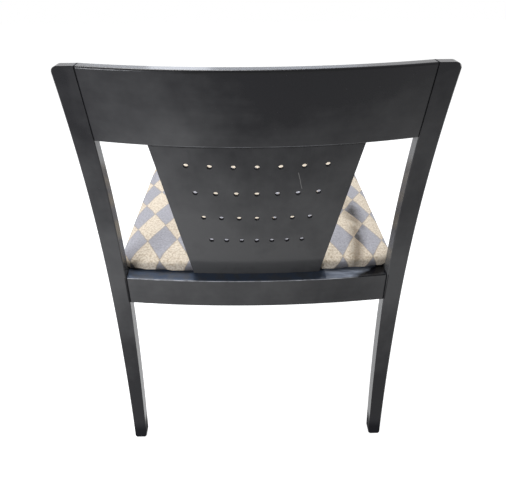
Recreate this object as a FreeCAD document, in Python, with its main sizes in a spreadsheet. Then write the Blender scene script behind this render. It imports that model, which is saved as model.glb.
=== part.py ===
import FreeCAD, Part
import math
import os

import Sketcher

# An upholstered side chair in painted wood. The frame stands with +Z up and its front towards -Y.
# The origin is on the floor, under the middle of the whole chair. Left is the sitter's left, at +X.
# All lengths are millimetres.

# Driving dimensions
DRIVING = {
    # the two rear posts, each one sabre-curved board from floor to top
    "overall_height": 823.0,
    "half_width": 277.0,
    "post_width": 32.7,
    "post_foot_width": 25.0,
    "post_foot_depth": 23.0,
    "post_waist_depth": 27.0,
    "post_top_depth": 21.0,
    "waist_height": 365.0,
    "waist_forward": 26.0,
    "top_backward": 43.0,
    "post_corner_radius": 9.5,
    "post_edge_bevel": 1.3,
    "post_foot_bevel": 3.5,
    # the crest rail, bowed backwards between the posts
    "crest_height": 115.5,
    "crest_bow": 36.0,
    "crest_thickness": 21.0,
    "crest_edge_radius": 2.6,
    # the seat frame
    "rail_top": 428.0,
    "rail_height": 58.5,
    "rear_rail_bow": 15.5,
    "rear_rail_end_depth": 38.5,
    "ledge_edge_radius": 1.8,
    "side_rail_thickness": 18.0,
    "front_rail_thickness": 22.0,
    "front_rail_setback": 3.0,
    # the front legs
    "front_reach": 527.0,
    "cushion_overhang": 4.0,
    "leg_top_size": 38.0,
    "leg_foot_size": 26.0,
    "leg_side_inset": 11.0,
    "leg_edge_radius": 1.6,
    # the splat, a thin bent panel in a groove of the rear rail and one of the crest
    "splat_thickness": 5.0,
    "splat_foot_half": 117.5,
    "splat_head_half": 165.0,
    "splat_foot_bow": 4.5,
    "splat_recess": 6.5,
    "ledge_depth": 24.5,
    "tongue_length": 8.0,
    "groove_clearance": 0.4,
    "hole_radius": 4.25,
    "hole_low_half_span": 79.2,
    "hole_high_half_span": 108.8,
    # the corner blocks glued and screwed inside the seat frame
    "block_reach": 62.0,
    "block_height": 38.0,
    "block_tip": 10.0,
    # the seat: board, foam, cover and dust cover
    "cushion_side_inset": 15.0,
    "cushion_rear_gap": 0.4,
    "cushion_rise": 45.5,
    "cushion_rear_corner": 50.0,
    "cushion_front_corner": 42.0,
    "fabric_thickness": 1.2,
    "foam_clearance": 0.3,
    "board_thickness": 12.0,
    "board_inset": 12.0,
    "fabric_turn_under": 22.0,
    "dust_cover_thickness": 0.8,
    # glides under the feet
    "glide_radius": 9.0,
    "glide_height": 4.0,
    "glide_edge_radius": 1.2,
    "glide_pin_radius": 1.6,
    "glide_pin_length": 14.0,
    # dowels and screws
    "dowel_radius": 4.0,
    "dowel_reach": 20.0,
    "bore_clearance": 0.1,
    "bore_overlength": 0.5,
    "crest_dowel_spread": 54.0,
    "rear_dowel_spread": 36.0,
    "side_dowel_spread": 14.0,
    "front_dowel_spread": 30.0,
    "screw_radius": 2.0,
    "screw_head_radius": 4.0,
    "screw_head_height": 2.6,
    "screw_bite": 13.0,
    "screw_spread": 7.0,
    "screw_line": 29.0,
    "seat_screw_bite": 9.0,
    "seat_screw_line": 26.0,
    "screw_wood_under_head": 12.0,
    # how far a cut runs past the faces it starts or ends at
    "overrun": 5.0,
}

# The holes of the splat: how many, and how far up its face the lowest and the highest row are
HOLE_ROWS = 4
HOLE_COLUMNS = 7
HOLE_ROW_SHARES = (0.308, 0.863)

# The cushion's side and crown: how far in from its widest outline, and how high, each level is
CUSHION_INSET_SHARES = (0.004, 0.001, 0.0, 0.002, 0.012, 0.034, 0.075, 0.135, 0.215, 0.315, 0.435, 0.580)
CUSHION_RISE_SHARES = (0.0, 0.11, 0.25, 0.38, 0.50, 0.60, 0.69, 0.77, 0.84, 0.90, 0.95, 1.0)
CORNER_GROWTH_SHARE = 0.2

# An edge counts as upright when this share of its direction is vertical
UPRIGHT_SHARE = 0.9

# A foot's side edges are at least this share of its width from its middle
NEARLY_HALF = 0.48
FULL_TURN = 360


class Size:
    """A length, its number and the formula that the document keeps for it."""

    def __init__(self, value, formula):
        self.value = value
        self.formula = formula

    def __add__(self, other):
        other = as_size(other)
        return Size(self.value + other.value, f"({self.formula} + {other.formula})")

    def __radd__(self, other):
        return as_size(other) + self

    def __sub__(self, other):
        other = as_size(other)
        return Size(self.value - other.value, f"({self.formula} - {other.formula})")

    def __rsub__(self, other):
        return as_size(other) - self

    def __mul__(self, other):
        other = as_size(other)
        return Size(self.value * other.value, f"({self.formula} * {other.formula})")

    def __rmul__(self, other):
        return as_size(other) * self

    def __truediv__(self, other):
        other = as_size(other)
        return Size(self.value / other.value, f"({self.formula} / {other.formula})")

    def __neg__(self):
        return Size(-self.value, f"(0 - {self.formula})")


def as_size(number):
    """A plain number or share, made into a Size."""
    if isinstance(number, Size):
        return number
    return Size(float(number), f"({float(number)})")


def root(size):
    """The square root of a Size."""
    return Size(math.sqrt(size.value), f"sqrt({size.formula})")


def slope(run, rise):
    """The angle, in degrees, whose tangent is run over rise."""
    ratio = run / rise
    return Size(math.degrees(math.atan(ratio.value)), f"(atan({ratio.formula}) / 1 deg)")


def arc_radius(half_chord, bow):
    """The radius of an arc with this half chord and this bow."""
    return (half_chord * half_chord + bow * bow) / (2 * bow)


def drop(radius, reach):
    """How far an arc has fallen away from its tangent at this reach along it."""
    return radius - root(radius * radius - reach * reach)


ZERO = as_size(0)
DOC = FreeCAD.newDocument("Chair")


class Sheet:
    """A spreadsheet of named lengths; setting one writes its cell, reading it gives a Size."""

    def __init__(self, label):
        self.__dict__["label"] = label
        self.__dict__["cells"] = DOC.addObject("Spreadsheet::Sheet", label)
        self.__dict__["rows"] = 0

    def __setattr__(self, name, size):
        self.__dict__["rows"] += 1
        self.cells.set(f"A{self.rows}", name)
        content = "=" + size.formula if isinstance(size, Size) else str(size)
        self.cells.set(f"B{self.rows}", content)
        self.cells.setAlias(f"B{self.rows}", name)
        self.__dict__[name] = Size(as_size(size).value, f"{self.label}.{name}")


S = Sheet("Sizes")
for size_name, size_number in DRIVING.items():
    setattr(S, size_name, size_number)
DOC.recompute()
D = Sheet("Derived")

# Derived sizes of the frame
D.post_in = S.half_width - S.post_width
D.foot_middle = S.half_width - S.post_foot_width / 2
D.post_rise = S.overall_height - S.waist_height
D.foot_rise = S.waist_height - S.glide_height
D.post_low_rear_radius = arc_radius(D.foot_rise, S.waist_forward)
D.post_high_rear_radius = arc_radius(D.post_rise, S.waist_forward + S.top_backward)
D.waist_front = S.waist_forward + S.post_waist_depth
D.top_front = S.post_top_depth - S.top_backward
D.post_low_front_radius = arc_radius(D.foot_rise, D.waist_front - S.post_foot_depth)
D.post_high_front_radius = arc_radius(D.post_rise, D.waist_front - D.top_front)
D.rail_low = S.rail_top - S.rail_height
D.rail_middle = S.rail_top - S.rail_height / 2
D.crest_low = S.overall_height - S.crest_height
D.crest_middle = S.overall_height - S.crest_height / 2


def post_rear(height):
    """How far the post's rear face is in front of the rear feet, above the waist."""
    return S.waist_forward - drop(D.post_high_rear_radius, height - S.waist_height)


def post_front(height):
    """How far the post's front face is in front of the rear feet, above the waist."""
    return D.waist_front - drop(D.post_high_front_radius, height - S.waist_height)


# Derived place of the origin: the crest's rounded top edge and the cushion's front reach furthest
D.crest_low_back = post_rear(D.crest_low)
D.crest_lean = D.crest_low_back - post_rear(S.overall_height)
D.crest_slope = D.crest_lean / S.crest_height
D.crest_setback = S.crest_edge_radius * (D.crest_slope + root(D.crest_slope * D.crest_slope + 1) - 1)
D.back_reach = S.top_backward + S.crest_bow - D.crest_setback
D.heel = (S.front_reach - D.back_reach) / 2


def back(forward):
    """The Y of a place this far in front of the rear feet's rear faces."""
    return D.heel - forward


# Derived sizes of the seat frame and the splat
D.rear_rail_back = post_rear(D.rail_middle)
D.rear_rail_front = D.rear_rail_back + S.rear_rail_end_depth
D.rear_rail_radius = arc_radius(D.post_in, S.rear_rail_bow)
D.splat_foot = D.rear_rail_back - S.rear_rail_bow + S.ledge_depth
D.crest_radius = arc_radius(D.post_in, S.crest_bow)
D.crest_dowel_shift = S.dowel_reach / 2 * D.post_in / (D.crest_radius - S.crest_bow)
D.splat_head = D.crest_low_back - S.crest_bow + S.splat_recess
D.splat_rise = D.crest_low - S.rail_top
D.splat_run = D.splat_foot - D.splat_head
D.splat_length = root(D.splat_rise * D.splat_rise + D.splat_run * D.splat_run)
D.leg_front = S.front_reach - S.cushion_overhang
D.leg_out = S.half_width - S.leg_side_inset
D.leg_in = D.leg_out - S.leg_top_size
D.leg_back = D.leg_front - S.leg_top_size
D.side_rail_out = D.post_in + S.side_rail_thickness
D.side_rail_middle = D.post_in + S.side_rail_thickness / 2
D.front_rail_front = D.leg_front - S.front_rail_setback
D.front_rail_back = D.front_rail_front - S.front_rail_thickness
D.front_rail_middle = D.front_rail_front - S.front_rail_thickness / 2
D.bore_radius = S.dowel_radius + S.bore_clearance
D.bore_depth = S.dowel_reach + S.bore_overlength
D.pilot_radius = S.screw_radius + S.bore_clearance
D.counterbore_radius = S.screw_head_radius + S.bore_clearance

# Derived sizes of the seat
D.cushion_half = S.half_width - S.cushion_side_inset
D.cushion_back = D.splat_foot + S.splat_thickness + S.cushion_rear_gap
D.board_low = S.rail_top + S.fabric_thickness + S.foam_clearance

DOC.recompute()

PLANE_ROLES = {"XY": "XY_Plane", "XZ": "XZ_Plane", "YZ": "YZ_Plane"}


def bind(thing, path, size):
    """Tie one property of a document object to the formula of a Size."""
    thing.setExpression(path, size.formula)


def new_body(label):
    """An empty body; its label is the sub-part's name."""
    body = DOC.addObject("PartDesign::Body", label)
    body.Label = label
    body.Placement = FreeCAD.Placement()
    return body


def new_sketch(body, plane, offset=ZERO):
    """A sketch on one of the body's own planes, this far along the plane's normal."""
    sketch = body.newObject("Sketcher::SketchObject", body.Label + "_sketch")
    planes = [item for item in body.Origin.OriginFeatures if item.Role == PLANE_ROLES[plane]]
    sketch.AttachmentSupport = [(planes[0], "")]
    sketch.MapMode = "FlatFace"
    sketch.AttachmentOffset = FreeCAD.Placement(FreeCAD.Vector(0, 0, offset.value), FreeCAD.Rotation())
    bind(sketch, "AttachmentOffset.Base.z", offset)
    return sketch


def pin_point(sketch, geometry, end, place):
    """Hold one end of a line or arc at a place given by two Sizes."""
    for kind, size in zip(("DistanceX", "DistanceY"), place):
        index = sketch.addConstraint(Sketcher.Constraint(kind, -1, 1, geometry, end, size.value))
        bind(sketch, f"Constraints[{index}]", size)


def add_arc(sketch, start, stop, radius, side):
    """An arc from start to stop with its centre on the left (+1) or right (-1) of the way there."""
    x0, y0 = (size.value for size in start)
    x1, y1 = (size.value for size in stop)
    half = math.hypot(x1 - x0, y1 - y0) / 2
    away = math.sqrt(max(radius.value ** 2 - half ** 2, 0.0))
    centre_x = (x0 + x1) / 2 - side * away * (y1 - y0) / (2 * half)
    centre_y = (y0 + y1) / 2 + side * away * (x1 - x0) / (2 * half)
    first = math.atan2(y0 - centre_y, x0 - centre_x)
    last = math.atan2(y1 - centre_y, x1 - centre_x)
    if side < 0:
        first, last = last, first
    circle = Part.Circle(FreeCAD.Vector(centre_x, centre_y, 0), FreeCAD.Vector(0, 0, 1), radius.value)
    if last < first:
        last += 2 * math.pi
    geometry = sketch.addGeometry(Part.ArcOfCircle(circle, first, last), False)
    index = sketch.addConstraint(Sketcher.Constraint("Radius", geometry, radius.value))
    bind(sketch, f"Constraints[{index}]", radius)
    ends = (1, 2) if side > 0 else (2, 1)
    return geometry, ends


def add_outline(sketch, corners):
    """A closed outline. A corner is (x, y), or (x, y, radius, side) where an arc leaves it."""
    sides = []
    for number, corner in enumerate(corners):
        start = [as_size(size) for size in corner[:2]]
        stop = [as_size(size) for size in corners[(number + 1) % len(corners)][:2]]
        if len(corner) == 4:
            sides.append((add_arc(sketch, start, stop, corner[2], corner[3]), start))
            continue
        points = [FreeCAD.Vector(x.value, y.value, 0) for x, y in (start, stop)]
        geometry = sketch.addGeometry(Part.LineSegment(*points), False)
        sides.append(((geometry, (1, 2)), start))
    for number, ((geometry, ends), start) in enumerate(sides):
        pin_point(sketch, geometry, ends[0], start)
        following, following_ends = sides[(number + 1) % len(sides)][0]
        meeting = (geometry, ends[1], following, following_ends[0])
        sketch.addConstraint(Sketcher.Constraint("Coincident", *meeting))


def add_circle(sketch, place, radius):
    """A circle of this radius at a place given by two Sizes."""
    centre = FreeCAD.Vector(place[0].value, place[1].value, 0)
    circle = Part.Circle(centre, FreeCAD.Vector(0, 0, 1), radius.value)
    geometry = sketch.addGeometry(circle, False)
    index = sketch.addConstraint(Sketcher.Constraint("Radius", geometry, radius.value))
    bind(sketch, f"Constraints[{index}]", radius)
    pin_point(sketch, geometry, 3, place)


def settle(feature):
    """Build a feature and stop at once if it fails."""
    DOC.recompute()
    if "Invalid" in feature.State or feature.Shape.isNull():
        raise ValueError(f"{feature.Label} did not build")
    return feature


def lean_back(feature):
    """Send a pad or a cut up along the crest's lean instead of straight."""
    feature.UseCustomVector = True
    feature.Reversed = False
    feature.Direction = FreeCAD.Vector(0, D.crest_lean.value, S.crest_height.value)
    bind(feature, "Direction.y", D.crest_lean)
    bind(feature, "Direction.z", S.crest_height)


def pad(body, sketch, length, leaning=False):
    """Add the sketch's outline to the body, along the sketch's normal."""
    feature = body.newObject("PartDesign::Pad", body.Label + "_pad")
    feature.Profile = sketch
    feature.Length = length.value
    bind(feature, "Length", length)
    if leaning:
        lean_back(feature)
    return settle(feature)


def cut(body, sketch, depth, forwards, leaning=False):
    """Cut the sketch's outline out of the body, along or against the sketch's normal."""
    before = body.Shape.Volume
    feature = body.newObject("PartDesign::Pocket", body.Label + "_cut")
    feature.Profile = sketch
    feature.Length = depth.value
    feature.Reversed = forwards
    bind(feature, "Length", depth)
    if leaning:
        lean_back(feature)
    settle(feature)
    if not feature.Shape.Volume < before:
        raise ValueError(f"a cut in {body.Label} takes nothing away")
    return feature


def loft(body, kind, sections):
    """A straight-sided loft, added to or taken from the body, through sketches in order."""
    feature = body.newObject(kind, body.Label + "_loft")
    feature.Profile = sections[0]
    feature.Sections = sections[1:]
    feature.Ruled = True
    return settle(feature)


def bore(body, plane, start, places, radius, depth, forwards):
    """Round bores of one radius and depth, from a plane at this offset."""
    sketch = new_sketch(body, plane, start)
    for place in places:
        add_circle(sketch, place, radius)
    return cut(body, sketch, depth, forwards)


def dress_edges(body, kind, property_name, size, wanted):
    """Put a fillet or a chamfer on the edges of the body for which wanted(edge) is true."""
    names = [f"Edge{number}" for number, edge in enumerate(body.Shape.Edges, start=1) if wanted(edge)]
    if not names:
        raise ValueError(f"no edge of {body.Label} to dress")
    base = body.Tip
    feature = body.newObject(kind, body.Label + "_edges")
    feature.Base = (base, names)
    setattr(feature, property_name, size.value)
    bind(feature, property_name, size)
    return settle(feature)


def round_edges(body, radius, wanted):
    """Round the edges of the body for which wanted(edge) is true."""
    return dress_edges(body, "PartDesign::Fillet", "Radius", radius, wanted)


def bevel_edges(body, width, wanted):
    """Bevel the edges of the body for which wanted(edge) is true."""
    return dress_edges(body, "PartDesign::Chamfer", "Size", width, wanted)


def middle_of(edge):
    """The middle point of an edge."""
    return edge.valueAt((edge.FirstParameter + edge.LastParameter) / 2)


def same(number, size):
    """Whether a coordinate lies on a Size, within a hundredth of the post's bevel."""
    return abs(number - size.value) < S.post_edge_bevel.value / 100


def beside(number, middle):
    """Whether a coordinate is nearly half a foot's width away from the middle of that foot."""
    return abs(number - middle.value) > S.post_foot_width.value * NEARLY_HALF


def levels(middle, spread):
    """Two heights, this far apart, around a middle."""
    return (middle - spread / 2, middle + spread / 2)


def build_rear_post(label, side):
    """One rear post: a sabre-curved board, tapered on its inner face below the rail."""
    body = new_body(label)
    low_x = D.post_in if side > 0 else -S.half_width
    inner_x = side * D.post_in
    sketch = new_sketch(body, "YZ", low_x)
    add_outline(sketch, [
        (back(ZERO), S.glide_height, D.post_low_rear_radius, -1),
        (back(S.waist_forward), S.waist_height, D.post_high_rear_radius, -1),
        (back(-S.top_backward), S.overall_height),
        (back(D.top_front), S.overall_height, D.post_high_front_radius, 1),
        (back(D.waist_front), S.waist_height, D.post_low_front_radius, 1),
        (back(S.post_foot_depth), S.glide_height),
    ])
    pad(body, sketch, S.post_width)
    outer_x = side * S.half_width
    round_edges(body, S.post_corner_radius,
                lambda edge: same(middle_of(edge).z, S.overall_height) and same(middle_of(edge).x, outer_x))
    long_edge = S.post_foot_depth.value * 4
    bevel_edges(body, S.post_edge_bevel, lambda edge: edge.Length > long_edge)
    wedge = new_sketch(body, "XZ", S.front_reach)
    taper = S.post_width - S.post_foot_width
    add_outline(wedge, [
        (inner_x, D.rail_low),
        (inner_x - side * S.overrun, D.rail_low),
        (inner_x - side * S.overrun, ZERO),
        (inner_x + side * taper, ZERO),
    ])
    cut(body, wedge, S.front_reach * 2, False)
    bevel_edges(body, S.post_foot_bevel,
                lambda edge: same(middle_of(edge).z, S.glide_height) and beside(middle_of(edge).x, side * D.foot_middle))
    post_middle = S.waist_forward + S.post_waist_depth / 2
    rail_places = [(back(post_middle), height) for height in levels(D.rail_middle, S.rear_dowel_spread)]
    crest_places = [(back(crest_dowel_line(height)), height)
                    for height in levels(D.crest_middle, S.crest_dowel_spread)]
    for places in (rail_places, crest_places):
        bore(body, "YZ", inner_x, places, D.bore_radius, D.bore_depth, side > 0)
    side_places = [(side * D.side_rail_middle, height)
                   for height in levels(D.rail_middle, S.side_dowel_spread)]
    front_face = -back(D.waist_front) + S.overrun
    bore(body, "XZ", front_face, side_places, D.bore_radius, D.bore_depth + S.overrun, False)
    add_glide_bore(body, side * (D.foot_middle), back(S.post_foot_depth / 2))
    return body


def crest_dowel_line(height):
    """How far in front of the rear feet the crest's dowels lie, central in the bow at half their reach."""
    return post_rear(height) + S.post_top_depth / 2 - D.crest_dowel_shift


def add_glide_bore(body, x, y):
    """The hole in a foot for its glide's pin."""
    radius = S.glide_pin_radius + S.bore_clearance
    depth = S.glide_height + S.glide_pin_length + S.bore_overlength
    bore(body, "XY", ZERO, [(x, y)], radius, depth, True)


def crest_band(sketch, rear_y, rear_depth, front_depth, half):
    """A bowed band in plan, between two depths in front of the crest's rear face."""
    centre = rear_y + S.crest_bow - D.crest_radius
    rear_radius = D.crest_radius - rear_depth
    front_radius = D.crest_radius - front_depth
    rear_end = centre + root(rear_radius * rear_radius - half * half)
    front_end = centre + root(front_radius * front_radius - half * half)
    add_outline(sketch, [
        (half, rear_end, rear_radius, 1),
        (-half, rear_end),
        (-half, front_end, front_radius, -1),
        (half, front_end),
    ])


def build_crest_rail():
    """The crest rail: a bowed plank that leans with the posts, level on top and below."""
    body = new_body("crest_rail")
    low_y = back(D.crest_low_back)
    foot = new_sketch(body, "XY", D.crest_low)
    crest_band(foot, low_y, ZERO, S.crest_thickness, D.post_in)
    pad(body, foot, S.crest_height, leaning=True)
    long_edge = S.half_width.value
    round_edges(body, S.crest_edge_radius, lambda edge: edge.Length > long_edge)
    groove = new_sketch(body, "XY", D.crest_low - S.overrun)
    mouth_y = low_y - S.overrun * D.crest_lean / S.crest_height
    near = S.splat_recess - S.groove_clearance
    far = S.splat_recess + S.splat_thickness * D.splat_length / D.splat_rise + S.groove_clearance
    crest_band(groove, mouth_y, near, far, S.splat_head_half + S.groove_clearance)
    cut(body, groove, S.overrun + S.tongue_length + S.splat_thickness / 2, True, leaning=True)
    places = [(back(crest_dowel_line(height)), height)
              for height in levels(D.crest_middle, S.crest_dowel_spread)]
    add_end_bores(body, places, D.post_in)
    return body


def add_end_bores(body, places, half):
    """Dowel bores in both ends of a cross rail."""
    bore(body, "YZ", half + S.overrun, places, D.bore_radius, D.bore_depth + S.overrun, False)
    bore(body, "YZ", -half - S.overrun, places, D.bore_radius, D.bore_depth + S.overrun, True)


def build_rear_seat_rail():
    """The rear seat rail: bowed behind, straight in front, grooved on top for the splat."""
    body = new_body("rear_seat_rail")
    sketch = new_sketch(body, "XY", D.rail_low)
    add_outline(sketch, [
        (D.post_in, back(D.rear_rail_back), D.rear_rail_radius, 1),
        (-D.post_in, back(D.rear_rail_back)),
        (-D.post_in, back(D.rear_rail_front)),
        (D.post_in, back(D.rear_rail_front)),
    ])
    pad(body, sketch, S.rail_height)
    arris = back(D.rear_rail_back)
    round_edges(body, S.ledge_edge_radius,
                lambda edge: edge.Length > S.half_width.value and middle_of(edge).y > arris.value)
    groove = new_sketch(body, "XY", S.rail_top + S.overrun)
    half = S.splat_foot_half + S.groove_clearance * 2
    radius = arc_radius(S.splat_foot_half, S.splat_foot_bow)
    lean = S.tongue_length * D.splat_run / D.splat_rise
    rear = back(D.splat_foot - S.groove_clearance)
    front = back(D.splat_foot + S.splat_thickness * D.splat_length / D.splat_rise + lean + S.groove_clearance)
    add_outline(groove, [
        (half, rear - S.splat_foot_bow, radius, 1),
        (-half, rear - S.splat_foot_bow),
        (-half, front - S.splat_foot_bow, radius, -1),
        (half, front - S.splat_foot_bow),
    ])
    cut(body, groove, S.overrun + S.tongue_length + S.splat_thickness / 2, False)
    post_middle = S.waist_forward + S.post_waist_depth / 2
    places = [(back(post_middle), height) for height in levels(D.rail_middle, S.rear_dowel_spread)]
    add_end_bores(body, places, D.post_in)
    add_cross_rail_pilots(body, back(D.rear_rail_front), False)
    return body


def side_screw_forward(front):
    """How far in front of the rear feet a corner block's screw enters the side rail."""
    return D.leg_back - S.screw_line if front else D.rear_rail_front + S.screw_line


def cross_screw_x(front):
    """How far from the middle of the chair a corner block's screw enters the front or rear rail."""
    return (D.leg_in if front else D.post_in) - S.screw_line


def add_cross_rail_pilots(body, face, front):
    """Pilot holes for the corner block screws, in the inner face of a front or rear rail."""
    places = [(side * cross_screw_x(front), D.rail_middle + S.screw_spread) for side in (1, -1)]
    start = -face - S.overrun if front else -face + S.overrun
    bore(body, "XZ", start, places, D.pilot_radius, S.screw_bite + S.overrun + S.bore_overlength, front)


def build_splat():
    """The splat: a thin panel, widening upwards, more bowed at its head, with rows of holes."""
    body = new_body("splat")
    foot_radius = arc_radius(S.splat_foot_half, S.splat_foot_bow)
    head_radius = D.crest_radius - S.splat_recess
    ends = (
        (-S.tongue_length, S.splat_foot_half, foot_radius),
        (D.splat_length + S.tongue_length, S.splat_head_half, head_radius),
    )
    sections = []
    for height, half, level_radius in ends:
        rear_radius = level_radius * D.splat_length / D.splat_rise
        front_radius = rear_radius - S.splat_thickness
        rear_y = root(rear_radius * rear_radius - half * half) - rear_radius
        front_y = root(front_radius * front_radius - half * half) - rear_radius
        section = new_sketch(body, "XY", height)
        add_outline(section, [
            (half, rear_y, rear_radius, 1),
            (-half, rear_y),
            (-half, front_y, front_radius, -1),
            (half, front_y),
        ])
        sections.append(section)
    loft(body, "PartDesign::AdditiveLoft", sections)
    holes = new_sketch(body, "XZ", -S.splat_head_half)
    low_share, high_share = HOLE_ROW_SHARES
    for row in range(HOLE_ROWS):
        row_share = row / (HOLE_ROWS - 1)
        half_span = S.hole_low_half_span * (1 - row_share) + S.hole_high_half_span * row_share
        height = D.splat_length * (low_share * (1 - row_share) + high_share * row_share)
        for column in range(HOLE_COLUMNS):
            column_share = 2 * column / (HOLE_COLUMNS - 1) - 1
            add_circle(holes, (half_span * column_share, height), S.hole_radius)
    cut(body, holes, S.splat_head_half * 2, True)
    tilt = slope(D.splat_run, D.splat_rise)
    turn = FreeCAD.Rotation(FreeCAD.Vector(-1, 0, 0), tilt.value)
    place = FreeCAD.Vector(0, back(D.splat_foot).value, S.rail_top.value)
    body.Placement = FreeCAD.Placement(place, turn)
    bind(body, "Placement.Base.y", back(D.splat_foot))
    bind(body, "Placement.Base.z", S.rail_top)
    bind(body, "Placement.Rotation.Angle", tilt)
    DOC.recompute()
    return body


def build_side_rail(label, side):
    """A side rail, from the rear post's curved front face to the front leg."""
    body = new_body(label)
    low_x = D.post_in if side > 0 else -D.side_rail_out
    sketch = new_sketch(body, "YZ", low_x)
    add_outline(sketch, [
        (back(D.leg_back), D.rail_low),
        (back(post_front(D.rail_low)), D.rail_low, D.post_high_front_radius, -1),
        (back(post_front(S.rail_top)), S.rail_top),
        (back(D.leg_back), S.rail_top),
    ])
    pad(body, sketch, S.side_rail_thickness)
    places = [(side * D.side_rail_middle, height) for height in levels(D.rail_middle, S.side_dowel_spread)]
    depth = D.bore_depth + S.overrun
    bore(body, "XZ", -back(D.waist_front) - S.overrun, places, D.bore_radius, depth, True)
    bore(body, "XZ", -back(D.leg_back) + S.overrun, places, D.bore_radius, depth, False)
    height = D.rail_middle - S.screw_spread
    pilots = [(back(side_screw_forward(front)), height) for front in (False, True)]
    pilot_depth = S.overrun + S.screw_bite + S.bore_overlength
    bore(body, "YZ", side * (D.post_in - S.overrun), pilots, D.pilot_radius, pilot_depth, side > 0)
    return body


def build_front_seat_rail():
    """The front seat rail, a plain board between the front legs."""
    body = new_body("front_seat_rail")
    sketch = new_sketch(body, "XY", D.rail_low)
    add_outline(sketch, [
        (D.leg_in, back(D.front_rail_back)),
        (-D.leg_in, back(D.front_rail_back)),
        (-D.leg_in, back(D.front_rail_front)),
        (D.leg_in, back(D.front_rail_front)),
    ])
    pad(body, sketch, S.rail_height)
    places = [(back(D.front_rail_middle), height) for height in levels(D.rail_middle, S.front_dowel_spread)]
    add_end_bores(body, places, D.leg_in)
    add_cross_rail_pilots(body, back(D.front_rail_back), True)
    return body


def leg_square(sketch, side, size):
    """A square in plan whose outer and front sides are the front leg's outer and front faces."""
    near_x = side * (D.leg_out - size)
    far_x = side * D.leg_out
    add_outline(sketch, [
        (far_x, back(D.leg_front - size)),
        (near_x, back(D.leg_front - size)),
        (near_x, back(D.leg_front)),
        (far_x, back(D.leg_front)),
    ])


def build_front_leg(label, side):
    """A front leg: square at the rails, then tapered to the foot on its two inner faces."""
    body = new_body(label)
    head = new_sketch(body, "XY", D.rail_low)
    leg_square(head, side, S.leg_top_size)
    pad(body, head, S.rail_height)
    foot = new_sketch(body, "XY", S.glide_height)
    leg_square(foot, side, S.leg_foot_size)
    knee = new_sketch(body, "XY", D.rail_low)
    leg_square(knee, side, S.leg_top_size)
    loft(body, "PartDesign::AdditiveLoft", [foot, knee])
    round_edges(body, S.leg_edge_radius, lambda edge: edge.Length > S.rail_height.value / 2
                and abs(edge.tangentAt(edge.FirstParameter).z) > UPRIGHT_SHARE)
    depth = D.bore_depth + S.overrun
    side_places = [(side * D.side_rail_middle, height)
                   for height in levels(D.rail_middle, S.side_dowel_spread)]
    bore(body, "XZ", -back(D.leg_back) - S.overrun, side_places, D.bore_radius, depth, True)
    front_places = [(back(D.front_rail_middle), height)
                    for height in levels(D.rail_middle, S.front_dowel_spread)]
    bore(body, "YZ", side * (D.leg_in - S.overrun), front_places, D.bore_radius, depth, side > 0)
    add_glide_bore(body, side * (D.leg_out - S.leg_foot_size / 2), back(D.leg_front - S.leg_foot_size / 2))
    return body


def build_corner_block(label, side, front):
    """A corner block, glued into a corner of the seat frame and screwed to both rails."""
    body = new_body(label)
    inward = 1 if front else -1
    corner_x = side * D.post_in
    corner_y = back(D.front_rail_back) if front else back(D.rear_rail_front)
    far_x = side * (D.post_in - S.block_reach)
    far_y = corner_y + inward * S.block_reach
    tip_x = side * (D.post_in - S.block_tip)
    tip_y = corner_y + inward * S.block_tip
    corners = [(corner_x, far_y), (tip_x, far_y), (far_x, tip_y), (far_x, corner_y)]
    if front:
        leg_x = side * D.leg_in
        corners += [(leg_x, corner_y), (leg_x, back(D.leg_back)), (corner_x, back(D.leg_back))]
    else:
        corners += [(corner_x, corner_y)]
    sketch = new_sketch(body, "XY", S.rail_top - S.block_height)
    add_outline(sketch, corners)
    pad(body, sketch, S.block_height)
    wood = S.screw_wood_under_head
    side_place = (back(side_screw_forward(front)), D.rail_middle - S.screw_spread)
    cross_place = (side * cross_screw_x(front), D.rail_middle + S.screw_spread)
    seat_place = (side * (D.post_in - S.seat_screw_line), corner_y + inward * S.seat_screw_line)
    far = S.block_reach + S.overrun
    bore(body, "YZ", side * (D.post_in + S.overrun), [side_place], D.pilot_radius, far, side < 0)
    bore(body, "YZ", side * (D.post_in - wood), [side_place], D.counterbore_radius, far, side < 0)
    bore(body, "XZ", -corner_y + inward * S.overrun, [cross_place], D.pilot_radius, far, not front)
    bore(body, "XZ", -corner_y - inward * wood, [cross_place], D.counterbore_radius, far, not front)
    bore(body, "XY", S.rail_top + S.overrun, [seat_place], D.pilot_radius, far, False)
    bore(body, "XY", S.rail_top - wood, [seat_place], D.counterbore_radius, far, False)
    return body


def seat_outline(sketch, inset):
    """The seat in plan, this far inside its widest outline, bowed behind like the rear rail."""
    half = D.cushion_half - inset
    rear_corner = S.cushion_rear_corner + inset * CORNER_GROWTH_SHARE
    front_corner = S.cushion_front_corner + inset * CORNER_GROWTH_SHARE
    front_y = back(S.front_reach - inset)
    rear_radius = D.rear_rail_radius - inset
    centre_y = back(D.cushion_back) - D.rear_rail_radius
    reach = half - rear_corner
    apart = rear_radius - rear_corner
    rise = root(apart * apart - reach * reach)
    meeting = (reach * rear_radius / apart, centre_y + rise * rear_radius / apart)
    add_outline(sketch, [
        (half, centre_y + rise, rear_corner, 1),
        (meeting[0], meeting[1], rear_radius, 1),
        (-meeting[0], meeting[1], rear_corner, 1),
        (-half, centre_y + rise),
        (-half, front_y + front_corner, front_corner, 1),
        (front_corner - half, front_y),
        (half - front_corner, front_y, front_corner, 1),
        (half, front_y + front_corner),
    ])


def cushion_levels(body, skin):
    """Level outlines of the cushion's form, this far inside its outer skin."""
    sketches = []
    for inset_share, rise_share in zip(CUSHION_INSET_SHARES, CUSHION_RISE_SHARES):
        height = S.rail_top + skin + (S.cushion_rise - 2 * skin) * rise_share
        sketch = new_sketch(body, "XY", height)
        seat_outline(sketch, D.cushion_half * inset_share + skin)
        sketches.append(sketch)
    return sketches


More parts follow.
